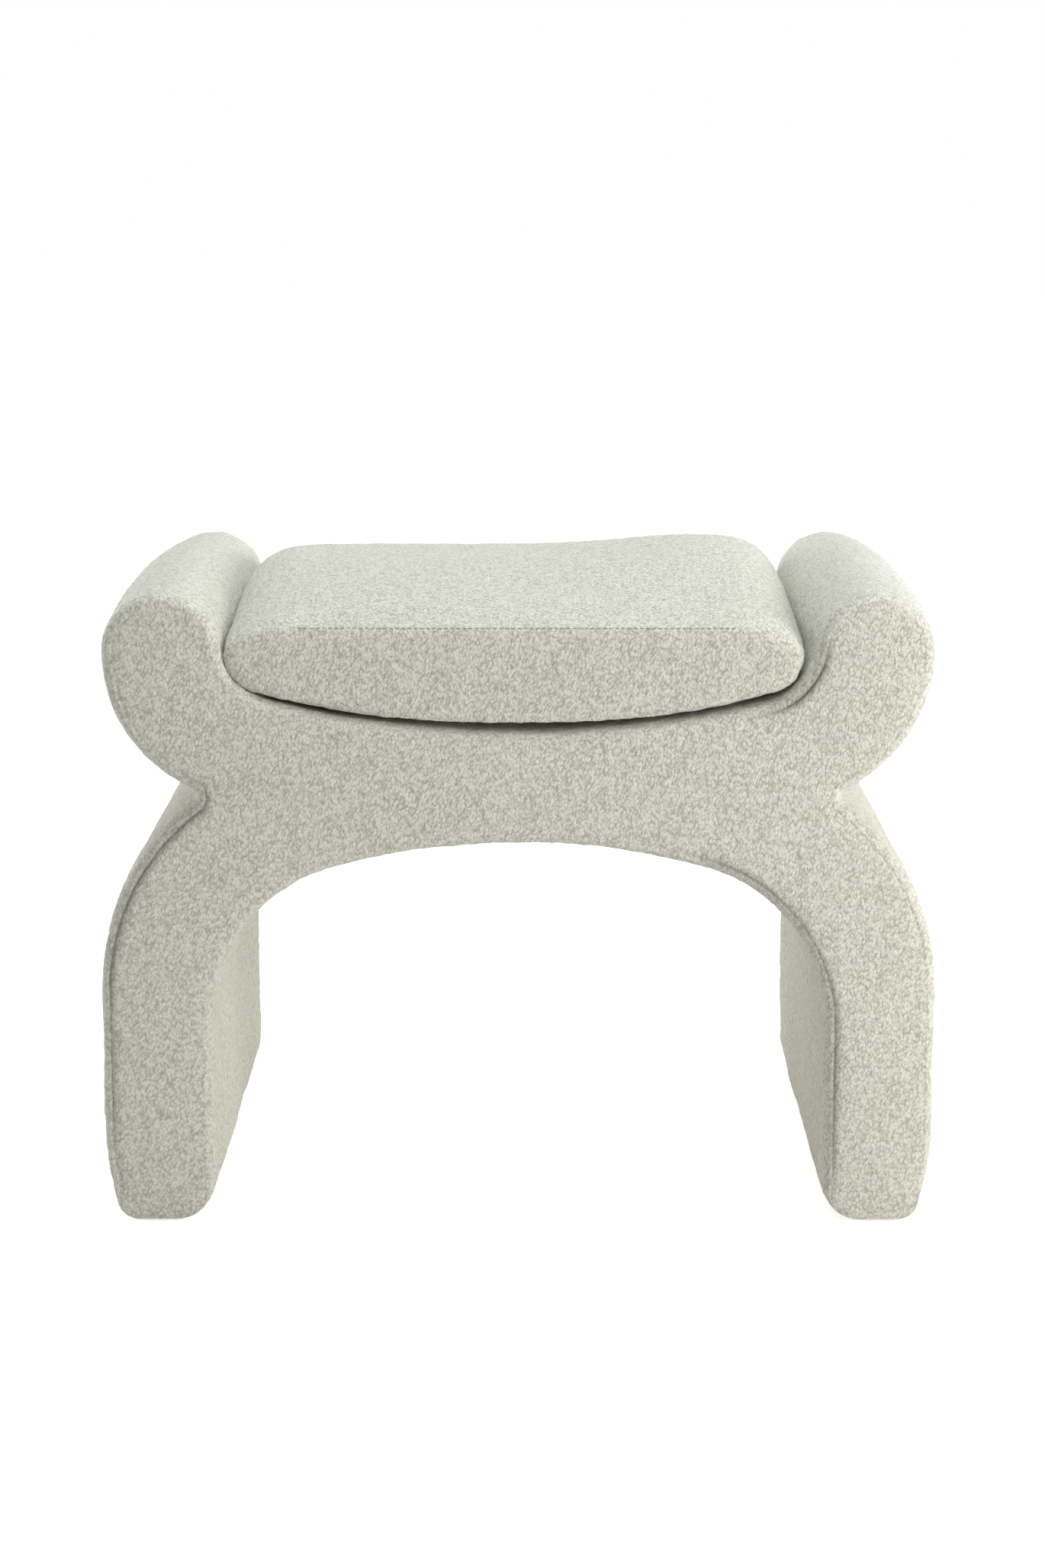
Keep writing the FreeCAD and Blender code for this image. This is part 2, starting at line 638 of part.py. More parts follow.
piece(block("zip_teeth", ("-Sizes.zip_half_length", "2 * Sizes.zip_half_length"),
            (teeth_y, "Sizes.zip_teeth_height"), (teeth_low, "Sizes.zip_teeth_width")))
for side, way in SIDES:
    stop_x = "Sizes.zip_half_length" if way > 0 else "-Sizes.zip_half_length - Sizes.zip_stop_length"
    piece(block(f"{side}_zip_stop", (stop_x, "Sizes.zip_stop_length"), (teeth_y, "Sizes.zip_teeth_height"),
                (f"{zip_z} - Sizes.zip_stop_width / 2", "Sizes.zip_stop_width")))

slider_x = "Sizes.zip_half_length - Sizes.zip_slider_length - Sizes.zip_clearance"
slider_half = "(Sizes.zip_teeth_width / 2 + Sizes.zip_clearance + Sizes.zip_slider_wall)"
slider_y = f"({teeth_y} + Sizes.zip_clearance)"
slider_blank = block("zip_slider_blank", (slider_x, "Sizes.zip_slider_length"),
                     (slider_y, "Sizes.zip_teeth_height + Sizes.zip_slider_wall"),
                     (f"{zip_z} - {slider_half}", f"2 * {slider_half}"))
slider_channel = block("zip_slider_channel",
                       (f"{slider_x} - Sizes.zip_slider_length", "3 * Sizes.zip_slider_length"),
                       (f"{slider_y} - Sizes.zip_teeth_height", "2 * Sizes.zip_teeth_height"),
                       (f"{teeth_low} - Sizes.zip_clearance",
                        "Sizes.zip_teeth_width + 2 * Sizes.zip_clearance"))
piece(cut("zip_slider", slider_blank, slider_channel))

doc.recompute()
for item in doc.Objects:
    if {"Invalid", "Error"} & set(item.State):
        raise RuntimeError(f"{item.Name} failed: {item.getStatusString()}")
os.makedirs("parts", exist_ok=True)
for item in pieces:
    if item.Shape.isNull() or not item.Shape.isValid():
        raise RuntimeError(f"{item.Label} has no valid shape")
    item.Shape.exportStep(f"parts/{item.Label}.step")
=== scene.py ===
"""A bouclé pouf: an upholstered curule stool with rolled sides and a loose zipped cushion."""
import json
import math

import bmesh
import bpy
import numpy as np
from bpy.props import FloatProperty, FloatVectorProperty, IntProperty, PointerProperty
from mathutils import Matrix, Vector, geometry, kdtree


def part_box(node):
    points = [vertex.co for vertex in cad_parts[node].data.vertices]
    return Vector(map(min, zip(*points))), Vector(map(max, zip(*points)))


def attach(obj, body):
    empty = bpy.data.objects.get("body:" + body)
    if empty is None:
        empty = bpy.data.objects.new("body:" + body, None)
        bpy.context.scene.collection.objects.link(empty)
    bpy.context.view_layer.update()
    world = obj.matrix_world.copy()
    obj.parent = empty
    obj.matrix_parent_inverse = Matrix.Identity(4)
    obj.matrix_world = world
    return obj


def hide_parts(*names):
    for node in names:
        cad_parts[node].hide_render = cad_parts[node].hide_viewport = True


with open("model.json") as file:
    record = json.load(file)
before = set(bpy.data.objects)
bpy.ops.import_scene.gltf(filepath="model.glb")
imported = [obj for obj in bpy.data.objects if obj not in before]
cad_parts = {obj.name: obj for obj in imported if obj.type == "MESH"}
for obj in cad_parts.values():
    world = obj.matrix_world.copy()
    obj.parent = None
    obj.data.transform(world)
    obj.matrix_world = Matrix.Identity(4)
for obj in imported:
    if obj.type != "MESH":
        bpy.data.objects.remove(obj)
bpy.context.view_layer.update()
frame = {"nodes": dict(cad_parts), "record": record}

bl_info = {
    "name": "Bouclé pouf",
    "version": (1, 0, 0),
    "blender": (4, 5, 0),
    "location": "3D View > Sidebar > Pouf",
    "description": "Upholsters the pouf's frame and sets it on a pale floor",
    "category": "Object",
}

SADDLE_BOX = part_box("saddle_cover")
LEG_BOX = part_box("right_leg_cover")
CUSHION_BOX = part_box("cushion_wrap_cover")
TAPE_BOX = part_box("zip_tape")
TEETH_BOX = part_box("zip_teeth")
SLIDER_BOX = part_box("zip_slider")
# How far the stuffed cushion's ends reach past their solid
CUSHION_SWELL = 0.0135


def length(name, default, description):
    """A size in metres that a user may change."""
    return FloatProperty(name=name, description=description, default=default, unit="LENGTH", precision=4)


def factor(name, default, description):
    """A share that a user may change."""
    return FloatProperty(name=name, description=description, default=default, subtype="FACTOR")


def angle(name, degrees, description):
    """An angle that a user may change."""
    return FloatProperty(name=name, description=description, default=math.radians(degrees),
                         subtype="ANGLE")


def power(name, default, description):
    """A lamp's power in watts that a user may change."""
    return FloatProperty(name=name, description=description, default=default, unit="POWER")


def tint(name, default, description):
    """A colour that a user may change."""
    return FloatVectorProperty(name=name, description=description, default=default, size=4,
                               subtype="COLOR", min=0, max=1)


class PoufSizes(bpy.types.PropertyGroup):
    """Sizes of the upholstered stool and its cushion."""

    depth: length("Depth", SADDLE_BOX[1][1] - SADDLE_BOX[0][1], "From the stool's front to its rear")
    leg_outer: length("Leg outside", LEG_BOX[1][0], "From the middle to a leg's outer side")
    leg_inner: length("Leg inside", 0.241, "From the middle to a leg's inner side")
    sole: length("Sole", 0.0012, "Height of the cloth under the feet")
    arch_height: length("Arch height", 0.3058, "From the floor to the top of the arch")
    arch_radius: length("Arch radius", 0.558, "Bend of the arch's top")
    arch_corner: length("Arch corner", 0.134, "Bend between the arch and the leg")
    shoulder: length("Shoulder", 0.19, "Bend of the leg's outer shoulder")
    waist: length("Waist", 0.2595, "From the middle to the crease under the roll")
    waist_height: length("Waist height", 0.343, "From the floor to the crease under the roll")
    waist_radius: length("Waist bend", 0.006, "Bend of the cloth in the crease")
    waist_pinch: length("Waist pinch", 0.004, "How much deeper the crease is at the seams")
    under_roll: length("Under the roll", 0.118, "Bend of the cloth below the roll")
    roll_spacing: length("Roll spacing", 0.275, "From the middle to a roll's axis")
    roll_height: length("Roll height", 0.456, "From the floor to a roll's axis")
    roll_end: length("Roll end", 0.0453, "Radius of a roll at its front")
    roll_crown: length("Roll crown", 0.008, "How much thicker a roll is at the middle of its length")
    roll_taper: length("Roll taper", 0.002, "How much thinner a roll is at its rear than at its front")
    roll_fillet: length("Roll foot", 0.05, "Bend between a roll and the saddle")
    saddle_height: length("Saddle height", 0.3935, "From the floor to the lowest part of the seat")
    saddle_radius: length("Saddle radius", 0.8, "Bend of the seat")
    heel: length("Heel", 0.03, "Rounding of a foot's inner corner")
    toe: length("Toe", 0.02, "Rounding of a foot's outer corner")
    taper_radius: length("Foot taper", 0.22, "Bend of a leg's outer side above the foot")
    taper_height: length("Foot taper height", 0.075, "Height where a leg starts to draw in")
    panel_swell: length("Panel swell", 0.0022, "How far the front and rear panels swell past the seam")
    edge_in: length("Edge inset", 0.008, "From the outline in to the front and rear seams")
    edge_back: length("Edge depth", 0.014, "How far back the cloth turns from the seam to the side")
    sole_edge: factor("Sole edge", 0.15, "Share of the edge's rounding kept at the soles")
    seam_groove: length("Seam groove", 0.0013, "How deep the seams are drawn in")
    seam_width: length("Seam width", 0.0022, "How far the dip beside a seam reaches")
    stitch: length("Mesh step", 0.003, "Distance between the points of the cloth")
    cushion_depth: length("Cushion depth", 0.416, "From the front to the rear of the cushion")
    cushion_forward: length("Cushion forward", 0.013, "How far the front leans over the seat's edge")
    cushion_half: length("Cushion half width", CUSHION_BOX[1][0] + CUSHION_SWELL,
                         "From the middle to the cushion's end")
    cushion_edge: length("Cushion edge", 0.477, "Height of the cushion's front seam")
    cushion_crown: length("Cushion crown", 0.031, "How far the cushion rises over its seams")
    cushion_end: length("Cushion end", 0.036, "Rounding of the cushion's upper ends at its middle")
    cushion_front_end: length("Cushion front end", 0.062, "Rounding of the upper ends at front and rear")
    cushion_low: length("Cushion low end", 0.032, "Rounding of the cushion's lower ends")
    cushion_lift: length("Cushion lift", 0.0068, "How far the cushion's front edge stands off the seat")
    cushion_plump: length("Cushion plump", 0.0115, "How much fuller the cushion is near its right end")
    cushion_tuck: factor("Cushion tuck", 0.036, "Share by which the right end is drawn in")
    stitch_run: length("Stitch run", 0.168, "From the middle to the end of the row of stitches")
    stitch_pitch: length("Stitch pitch", 0.0047, "From one stitch to the next")
    stitch_thick: length("Stitch thickness", 0.001, "Thickness of the thread")
    stitch_drop: length("Stitch drop", 0.0025, "How far the stitches lie below the cushion's edge")
    cushion_gap: length("Cushion gap", 0.0008, "Gap between the cushion and the stool")


class PoufFinish(bpy.types.PropertyGroup):
    """Colours of the pouf."""

    cloth: tint("Cloth", (0.725, 0.712, 0.622, 1), "Tips of the bouclé's loops")
    # Colour of the painted shade between the loops, and of the darker loops
    crevice_shade_and_tone: tint("Crevice", (0.435, 0.424, 0.345, 1), "Between the bouclé's loops")
    nubs: IntProperty(name="Nubs", description="Loops of the bouclé in a metre", default=520)
    # Painted shade at the bottom of the deepest seams
    seam: tint("Seam", (0.10, 0.09, 0.065, 1), "Bottom of the deepest seams")
    aged: tint("Aged", (0.60, 0.575, 0.49, 1), "Warmer cast that comes and goes over the cloth")
    slant: angle("Slant", -28, "How far the loops lean from upright")
    thread: tint("Thread", (0.36, 0.35, 0.285, 1), "Stitches along the cushion's upper seams")
    tape: tint("Zip tape", (0.30, 0.29, 0.24, 1), "Woven zip tape")
    nylon: tint("Zip teeth", (0.27, 0.26, 0.22, 1), "Moulded zip teeth")
    metal: tint("Zip metal", (0.48, 0.47, 0.45, 1), "Zip slider and stops")
    timber: tint("Timber", (0.50, 0.34, 0.18, 1), "Hidden frame")
    glide: tint("Glides", (0.02, 0.02, 0.02, 1), "Plastic glides")


class PoufStage(bpy.types.PropertyGroup):
    """Camera and light."""

    distance: length("Distance", 2.6118, "From the pouf's middle to the camera")
    across: length("Across", 0.0091, "How far the camera is to the right")
    eye: length("Eye height", 0.8166, "Height of the camera")
    pitch: angle("Pitch", 10.963, "How far the camera looks down")
    yaw: angle("Yaw", 0.137, "How far the camera turns to the left")
    lens: FloatProperty(name="Lens", description="Focal length in millimetres", default=72.2)
    key: power("Key light", 16.2, "Power of the lamp on the right")
    fill: power("Fill light", 1, "Power of the lamp on the left")
    rear: power("Rear light", 18, "Power of each lamp behind")
    top: power("Top light", 40.5, "Power of the lamp overhead")
    sky: FloatProperty(name="Sky", description="Strength of the light from all round", default=0.455)


class Wire:
    """A shader socket that joins in Python sums, each of which adds a Math node."""

    def __init__(self, finish, socket):
        self.finish = finish
        self.socket = socket

    def sum(self, operation, first, second):
        return self.finish.node("ShaderNodeMath", {"operation": operation}, {0: first, 1: second})

    def __add__(self, other):
        return self.sum("ADD", self, other)

    __radd__ = __add__

    def __sub__(self, other):
        return self.sum("SUBTRACT", self, other)

    def __rsub__(self, other):
        return self.sum("SUBTRACT", other, self)

    def __mul__(self, other):
        return self.sum("MULTIPLY", self, other)

    __rmul__ = __mul__


class Finish:
    """The nodes of a material or of the world."""

    def __init__(self, owner):
        self.owner = owner
        owner.use_nodes = True
        self.tree = owner.node_tree
        self.tree.nodes.clear()

    def node(self, kind, settings=None, sockets=None, output=0):
        """Add a node with its settings and the values or links of its sockets."""
        node = self.tree.nodes.new(kind)
        for key, value in (settings or {}).items():
            setattr(node, key, value)
        for key, value in (sockets or {}).items():
            if isinstance(value, Wire):
                self.tree.links.new(value.socket, node.inputs[key])
            else:
                node.inputs[key].default_value = value
        return Wire(self, node.outputs[output]) if node.outputs else None

    def place(self):
        return self.node("ShaderNodeTexCoord", output="Object")

    def plainly_seen(self):
        """1 for rays from the camera, a gloss or a clear surface, and 0 for rays that carry light."""
        camera, gloss, clear = (self.node("ShaderNodeLightPath", output=f"Is {kind} Ray")
                                for kind in ("Camera", "Glossy", "Transmission"))
        return camera.sum("MAXIMUM", camera.sum("MAXIMUM", camera, gloss), clear)

    def vector(self, operation, *values):
        return self.node("ShaderNodeVectorMath", {"operation": operation}, dict(enumerate(values)))

    def noise(self, place, scale, detail, output="Fac"):
        return self.node("ShaderNodeTexNoise", None,
                         {"Vector": place, "Scale": scale, "Detail": detail}, output)

    def cells(self, place, scale, output):
        return self.node("ShaderNodeTexVoronoi", {"feature": "F1"},
                         {"Vector": place, "Scale": scale}, output)

    def mix(self, share, first, second):
        """Blend two colours, which are sockets 6 and 7 and output 2 of a Mix node."""
        return self.node("ShaderNodeMix", {"data_type": "RGBA"}, {0: share, 6: first, 7: second}, 2)

    def bump(self, height, strength, distance):
        return self.node("ShaderNodeBump", None,
                         {"Strength": strength, "Distance": distance, "Height": height}, "Normal")

    def surface(self, **sockets):
        """Finish the material with a Principled shader."""
        named = {key.replace("_", " ").title().replace("Ior", "IOR"): value
                 for key, value in sockets.items()}
        shader = self.node("ShaderNodeBsdfPrincipled", None, named)
        self.node("ShaderNodeOutputMaterial", None, {"Surface": shader})
        return self.owner


def new_finish(name):
    """The nodes of a new material."""
    return Finish(bpy.data.materials.new(name))


def toned(colour, share):
    """A colour made darker or lighter."""
    return tuple(min(1, share * part) for part in colour[:3]) + (1,)


# The bouclé's loops: how far they stray, how they are stretched, and how much finer the small ones are
LOOP_STRAY = (0.003, 0.003, 0.003)
LOOP_STRETCH = (1.0, 1.0, 0.66)
SMALL_LOOPS = 1.9
# Shares of the loops, the small loops and the tufts in the cloth's height
LOOP_RISE, SMALL_RISE, TUFT_RISE = 0.6, 0.25, 0.16
# Shares of that height (painted shade between the loops) and of each loop's own random tone in the
# cloth's colour, and of its aged cast
HEIGHT_TONE, LOOP_TONE, AGED_TONE = 0.9, 0.3, 0.16


def boucle(finish):
    """Looped wool cloth: leaning loops of two sizes, with shade between them and in deep seams."""
    made = bpy.data.materials.get("looped_cloth")
    if made:
        return made
    cloth = new_finish("looped_cloth")
    place = cloth.place()
    stray = cloth.vector("SUBTRACT", cloth.noise(place, 120.0, 1.0, "Color"), (0.5, 0.5, 0.5))
    bent = cloth.vector("MULTIPLY_ADD", stray, LOOP_STRAY, place)
    bent = cloth.node("ShaderNodeVectorRotate", {"rotation_type": "Y_AXIS"},
                      {"Vector": bent, "Angle": finish.slant})
    bent = cloth.vector("MULTIPLY", bent, LOOP_STRETCH)
    loop = cloth.cells(bent, float(finish.nubs), "Distance")
    small = cloth.cells(bent, finish.nubs * SMALL_LOOPS, "Distance")
    pick = cloth.node("ShaderNodeSeparateColor", None,
                      {"Color": cloth.cells(bent, float(finish.nubs), "Color")})
    tuft = cloth.noise(place, 240.0, 2.0)
    height = (1 - loop * loop) * LOOP_RISE + (1 - small * small) * SMALL_RISE + tuft * TUFT_RISE
    shade = cloth.node("ShaderNodeMapRange", {"interpolation_type": "SMOOTHSTEP"},
                       {"Value": height * HEIGHT_TONE + pick * LOOP_TONE,
                        "From Min": 0.45, "From Max": 1.03})
    # Painted shade: darker towards the crevice colour where the loops are low, and on some loops at
    # random
    colour = cloth.mix(shade, finish.crevice_shade_and_tone, finish.cloth)
    colour = cloth.mix(cloth.noise(place, 9.0, 2.0) * AGED_TONE, colour, finish.aged)
    # Painted shade in the deep seams: the seam_shade attribute darkens the colour towards the seam colour
    depth = cloth.node("ShaderNodeAttribute", {"attribute_name": "seam_shade"}, None, "Fac")
    colour = cloth.mix(depth, colour, finish.seam)
    return cloth.surface(base_color=colour, roughness=0.95, normal=cloth.bump(height, 0.8, 0.0014),
                         sheen_weight=0.22, sheen_roughness=0.6, specular_ior_level=0.12)


def woven_tape(finish):
    """Twill tape of the zip."""
    tape = new_finish("zip_tape_twill")
    rib = tape.node("ShaderNodeTexWave", {"bands_direction": "DIAGONAL"},
                    {"Vector": tape.place(), "Scale": 420.0, "Distortion": 0.6, "Detail": 1.0}, "Fac")
    colour = tape.mix(rib, toned(finish.tape, 0.7), tuple(finish.tape))
    return tape.surface(base_color=colour, roughness=0.85, normal=tape.bump(rib, 0.5, 0.0004))


def moulded(name, colour, roughness, grain):
    """Moulded plastic, or waxed thread, with a fine grain."""
    plastic = new_finish(name)
    speck = plastic.noise(plastic.place(), grain, 3.0)
    tone = plastic.mix(speck, toned(colour, 0.8), tuple(colour))
    return plastic.surface(base_color=tone, roughness=speck * 0.2 + roughness,
                           normal=plastic.bump(speck, 0.25, 0.0003))


def worn_metal(finish):
    """Plated zip metal, dulled by handling."""
    metal = new_finish("zip_metal_worn")
    rub = metal.noise(metal.place(), 900.0, 4.0)
    tone = metal.mix(rub, toned(finish.metal, 0.75), tuple(finish.metal))
    return metal.surface(base_color=tone, metallic=1.0, roughness=rub * 0.25 + 0.22)


def raw_timber(name, colour, rings):
    """Unfinished wood of the hidden frame."""
    wood = new_finish(name)
    place = wood.place()
    grain = wood.node("ShaderNodeTexWave", {"wave_type": "RINGS", "rings_direction": "Y"},
                      {"Vector": place, "Scale": rings, "Distortion": 5.0, "Detail": 3.0}, "Fac")
    fibre = wood.noise(place, 240.0, 4.0)
    tone = wood.mix(grain * 0.6 + fibre * 0.4, toned(colour, 0.55), tuple(colour))
    return wood.surface(base_color=tone, roughness=0.75, normal=wood.bump(fibre, 0.3, 0.0005))


def point_toward(centre, target, reach):
    """Point at a given distance from a centre in the direction of a target."""
    run = math.hypot(target[0] - centre[0], target[1] - centre[1])
    return tuple(start + (end - start) * reach / run for start, end in zip(centre, target))


def point_between(first, first_reach, second, second_reach, side):
    """Point at two given distances from two centres, on the left (1) or right (-1) of their line."""
    gap_x, gap_z = second[0] - first[0], second[1] - first[1]
    gap = math.hypot(gap_x, gap_z)
    along = (first_reach ** 2 - second_reach ** 2 + gap ** 2) / (2 * gap)
    across = math.sqrt(first_reach ** 2 - along ** 2) * side
    return (first[0] + (along * gap_x - across * gap_z) / gap,
            first[1] + (along * gap_z + across * gap_x) / gap)


def run_line(start, end, count):
    """Points from start up to, but not including, the end of a line."""
    share = np.linspace(0, 1, count, endpoint=False)[:, None]
    return np.array(start) * (1 - share) + np.array(end) * share


def run_arc(centre, start, end, count, bulges):
    """Points from start up to, but not including, the end of an arc that bulges out or is hollow."""
    first = math.atan2(start[1] - centre[1], start[0] - centre[0])
    turn = math.atan2(end[1] - centre[1], end[0] - centre[0]) - first
    turn = turn % math.tau if bulges else -((-turn) % math.tau)
    angles = first + turn * np.linspace(0, 1, count, endpoint=False)
    reach = math.hypot(start[0] - centre[0], start[1] - centre[1])
    return np.stack([centre[0] + reach * np.cos(angles), centre[1] + reach * np.sin(angles)], axis=1)


def draw_in(loop, inset):
    """A closed outline moved in along its own normals, by one distance or by one for each point."""
    along = np.roll(loop, -1, axis=0) - np.roll(loop, 1, axis=0)
    along /= np.linalg.norm(along, axis=1)[:, None]
    outward = np.stack([along[:, 1], -along[:, 0]], axis=1)
    return loop - outward * np.reshape(inset, (-1, 1))


def ease(share):
    """A share that starts and ends gently."""
    return share ** 2 * (3 - 2 * share)


def place_tree(points):
    """A tree that finds the nearest of some points."""
    tree = kdtree.KDTree(len(points))
    for index, point in enumerate(points):
        tree.insert(point, index)
    tree.balance()
    return tree


# Parts of the stool's outline, from the top of the arch to the middle of the saddle: number of points,
# how strongly the front and rear seams pull in, right and left, and how dark the shade painted into them
# is, right and left
OUTLINE = {
    "arch": (48, (0.7, 0.7), (0, 0)),
    "corner": (62, (1.2, 0.5), (0.6, 0)),
    "inner leg": (46, (1.4, 0.5), (0.65, 0)),
    "heel": (12, (0.6, 0.6), (0, 0)),
    "inner sole": (9, (0.4, 0.4), (0, 0)),
    "outer sole": (9, (0.4, 0.4), (0, 0)),
    "toe": (10, (0.6, 0.6), (0, 0)),
    "taper": (22, (0.9, 1.7), (0, 0.1)),
    "outer leg": (30, (0.9, 2.2), (0, 0.3)),
    "shoulder": (66, (0.8, 2.2), (0, 0.65)),
    "waist in": (5, (0.8, 2.2), (0, 0.95)),
    "waist out": (5, (0.7, 1.4), (0, 0.3)),
    "under roll": (26, (0.5, 0.6), (0, 0)),
    "roll": (64, (0.5, 0.5), (0, 0)),
    "fillet": (24, (1.6, 0.4), (0.95, 0)),
    "saddle": (76, (0.4, 0.4), (0, 0)),
}
# Columns of that table
COUNT, PULL, SHADE = 0, 1, 2
# Share of the half depth where the waist starts to draw in towards the seams
PINCH_START = 0.82
# Number of points over which the pull and the shade change, and of those round the cloth's turned edge
SEAM_BLEND, EDGE_STEPS = 31, 13


def roll_radius(sizes, share):
    """Radius of a roll at a share of the half depth, from -1 at the front to 1 at the rear."""
    crown = sizes.roll_crown * (1 - share ** 2)
    return sizes.roll_end + crown - sizes.roll_taper * np.maximum(share, 0) ** 2


def stool_outline(sizes, share):
    """Right half of the stool's outline at a share of the half depth, from the arch to the saddle."""
    roll_reach = float(roll_radius(sizes, share))
    pinch = min(max((abs(share) - PINCH_START) / (1 - PINCH_START), 0), 1)
    waist = (sizes.waist - sizes.waist_pinch * ease(pinch), sizes.waist_height)
    arch = (0, sizes.arch_height - sizes.arch_radius)
    corner_x = sizes.leg_inner - sizes.arch_corner
    corner_rise = math.sqrt((sizes.arch_radius - sizes.arch_corner) ** 2 - corner_x ** 2)
    corner = (corner_x, arch[1] + corner_rise)
    shoulder_x = sizes.leg_outer - sizes.shoulder
    shoulder_reach = sizes.shoulder + sizes.waist_radius
    shoulder = (shoulder_x, waist[1] - math.sqrt(shoulder_reach ** 2 - (shoulder_x - waist[0]) ** 2))
    roll = (sizes.roll_spacing, sizes.roll_height)
    under = point_between(waist, sizes.under_roll + sizes.waist_radius,
                          roll, sizes.under_roll - roll_reach, 1)
    saddle = (0, sizes.saddle_height + sizes.saddle_radius)
    fillet = point_between(saddle, sizes.saddle_radius - sizes.roll_fillet,
                           roll, roll_reach + sizes.roll_fillet, -1)
    taper = (sizes.leg_outer - sizes.taper_radius, sizes.taper_height)
    toe_z = sizes.sole + sizes.toe
    toe = (taper[0] + math.sqrt((sizes.taper_radius - sizes.toe) ** 2 - (toe_z - taper[1]) ** 2), toe_z)
    heel = (sizes.leg_inner + sizes.heel, sizes.sole + sizes.heel)
    waist_low = point_toward(waist, shoulder, sizes.waist_radius)
    waist_high = point_toward(waist, under, sizes.waist_radius)

    # Each part's centre, if it is an arc, its end, and whether it bulges out
    parts = {
        "arch": (arch, point_toward(arch, corner, sizes.arch_radius), False),
        "corner": (corner, (sizes.leg_inner, corner[1]), False),
        "inner leg": (None, (sizes.leg_inner, heel[1]), False),
        "heel": (heel, (heel[0], sizes.sole), True),
        "inner sole": (None, ((heel[0] + toe[0]) / 2, sizes.sole), False),
        "outer sole": (None, (toe[0], sizes.sole), False),
        "toe": (toe, point_toward(taper, toe, sizes.taper_radius), True),
        "taper": (taper, (sizes.leg_outer, taper[1]), True),
        "outer leg": (None, (sizes.leg_outer, shoulder[1]), False),
        "shoulder": (shoulder, waist_low, True),
        "waist in": (waist, (waist[0] - sizes.waist_radius, waist[1]), False),
        "waist out": (waist, waist_high, False),
        "under roll": (under, point_toward(roll, under, -roll_reach), True),
        "roll": (roll, point_toward(roll, fillet, roll_reach), True),
        "fillet": (fillet, point_toward(saddle, fillet, sizes.saddle_radius), False),
        "saddle": (saddle, (0, sizes.saddle_height), False),
    }
    runs = []
    start = (0, sizes.arch_height)
    for part, (centre, end, bulges) in parts.items():
        count = OUTLINE[part][COUNT]
        if centre:
            runs.append(run_arc(centre, start, end, count, bulges))
        else:
            runs.append(run_line(start, end, count))
        start = end
    return np.concatenate([*runs, [start]])


def outline_mark(part):
    """Index of the outline's point where a named part starts."""
    names = list(OUTLINE)
    return sum(OUTLINE[name][COUNT] for name in names[:names.index(part)])


def whole_outline(sizes, share, inset):
    """The closed outline, drawn in, but less at the soles."""
    right = stool_outline(sizes, share)
    left = right[-2:0:-1] * (-1, 1)
    loop = np.concatenate([right, left])
    tight = np.clip((loop[:, 1] - sizes.sole) / sizes.heel, sizes.sole_edge, 1)
    return draw_in(loop, inset * tight)


def along_seam(kind):
    """The seams' pull or shade at each point of the closed outline, blended from part to part."""
    halves = [np.concatenate([np.full(row[COUNT], row[kind][side], float) for row in OUTLINE.values()])
              for side in (0, 1)]
    right, left = (np.append(half, half[-1]) for half in halves)
    loop = np.concatenate([right, left[-2:0:-1]])
    blend = np.hanning(SEAM_BLEND)
    wrapped = np.concatenate([loop[-SEAM_BLEND:], loop, loop[:SEAM_BLEND]])
    return np.convolve(wrapped, blend / blend.sum(), "same")[SEAM_BLEND:-SEAM_BLEND]


def shade_seams(piece, shades):
    """Keep each point's shade for the cloth's colour."""
    kept = piece.data.attributes.new("seam_shade", "FLOAT", "POINT")
    kept.data.foreach_set("value", np.asarray(shades, dtype=np.float32))


def cloth_stations(sizes):
    """Places from front to rear, each with the outline's inset and its share of the seam's dip."""
    half = sizes.depth / 2
    turn = np.linspace(0, math.pi / 2, EDGE_STEPS)
    insets = sizes.edge_in * (1 - np.sin(turn))
    backs = sizes.edge_back * (1 - np.cos(turn))
    dips = np.exp(-(sizes.edge_in - insets) / sizes.seam_width)
    front = list(zip(backs - half, insets, dips))
    start = front[-1][0]
    middle = np.linspace(start, -start, int(-2 * start / sizes.stitch) + 1)[1:-1]
    rear = [(-place, inset, -dip) for place, inset, dip in reversed(front)]
    return front + [(place, 0.0, 0.0) for place in middle] + rear


def stool_skin(sizes):
    """Grid of points round the outline and from front to rear, with the seams' shade at each."""
    depths = sizes.seam_groove * along_seam(PULL)
    darkness = along_seam(SHADE)
    rings, shades = [], []
    for place, inset, dip in cloth_stations(sizes):
        loop = whole_outline(sizes, place / (sizes.depth / 2), inset)
        rings.append(np.column_stack([loop[:, 0], place + dip * depths, loop[:, 1]]))
        shades.append(abs(dip) * darkness)
    return np.stack(rings, axis=1), np.stack(shades, axis=1)


def place_new(name, data):
    """A new object in the scene."""
    made = bpy.data.objects.new(name, data)
    bpy.context.scene.collection.objects.link(made)
    return made


def new_piece(name, points, faces):
    """A smooth mesh object from points and faces."""
    mesh = bpy.data.meshes.new(name)
    mesh.from_pydata([tuple(point) for point in points], [], faces)
    mesh.shade_smooth()
    return place_new(name, mesh)


def grid_faces(rows, columns, closed=False):
    """Quads of a grid that faces outwards. The ends of each row meet if it is closed."""
    sides = [(column, (column + 1) % columns) for column in range(columns if closed else columns - 1)]
    return [(row * columns + left, row * columns + right,
             (row + 1) * columns + right, (row + 1) * columns + left)
            for row in range(rows - 1) for left, right in sides]


# How far from a seam the cloth's relief reaches its full height
SEAM_REACH = 0.005
# Size of the padding's dips and of the cloth's lumps
PADDING_SIZE, LUMP_SIZE = 0.09, 0.0075
# How high both of them are on the stool and on the cushion
STOOL_RELIEF = (0.003, 0.0018)
CUSHION_RELIEF = (0.0016, 0.0018)
# How far from a seam a panel swells
SWELL_REACH = 0.022
# Share of the mesh step that a panel's inner points keep from its edge
EDGE_CLEAR = 0.7


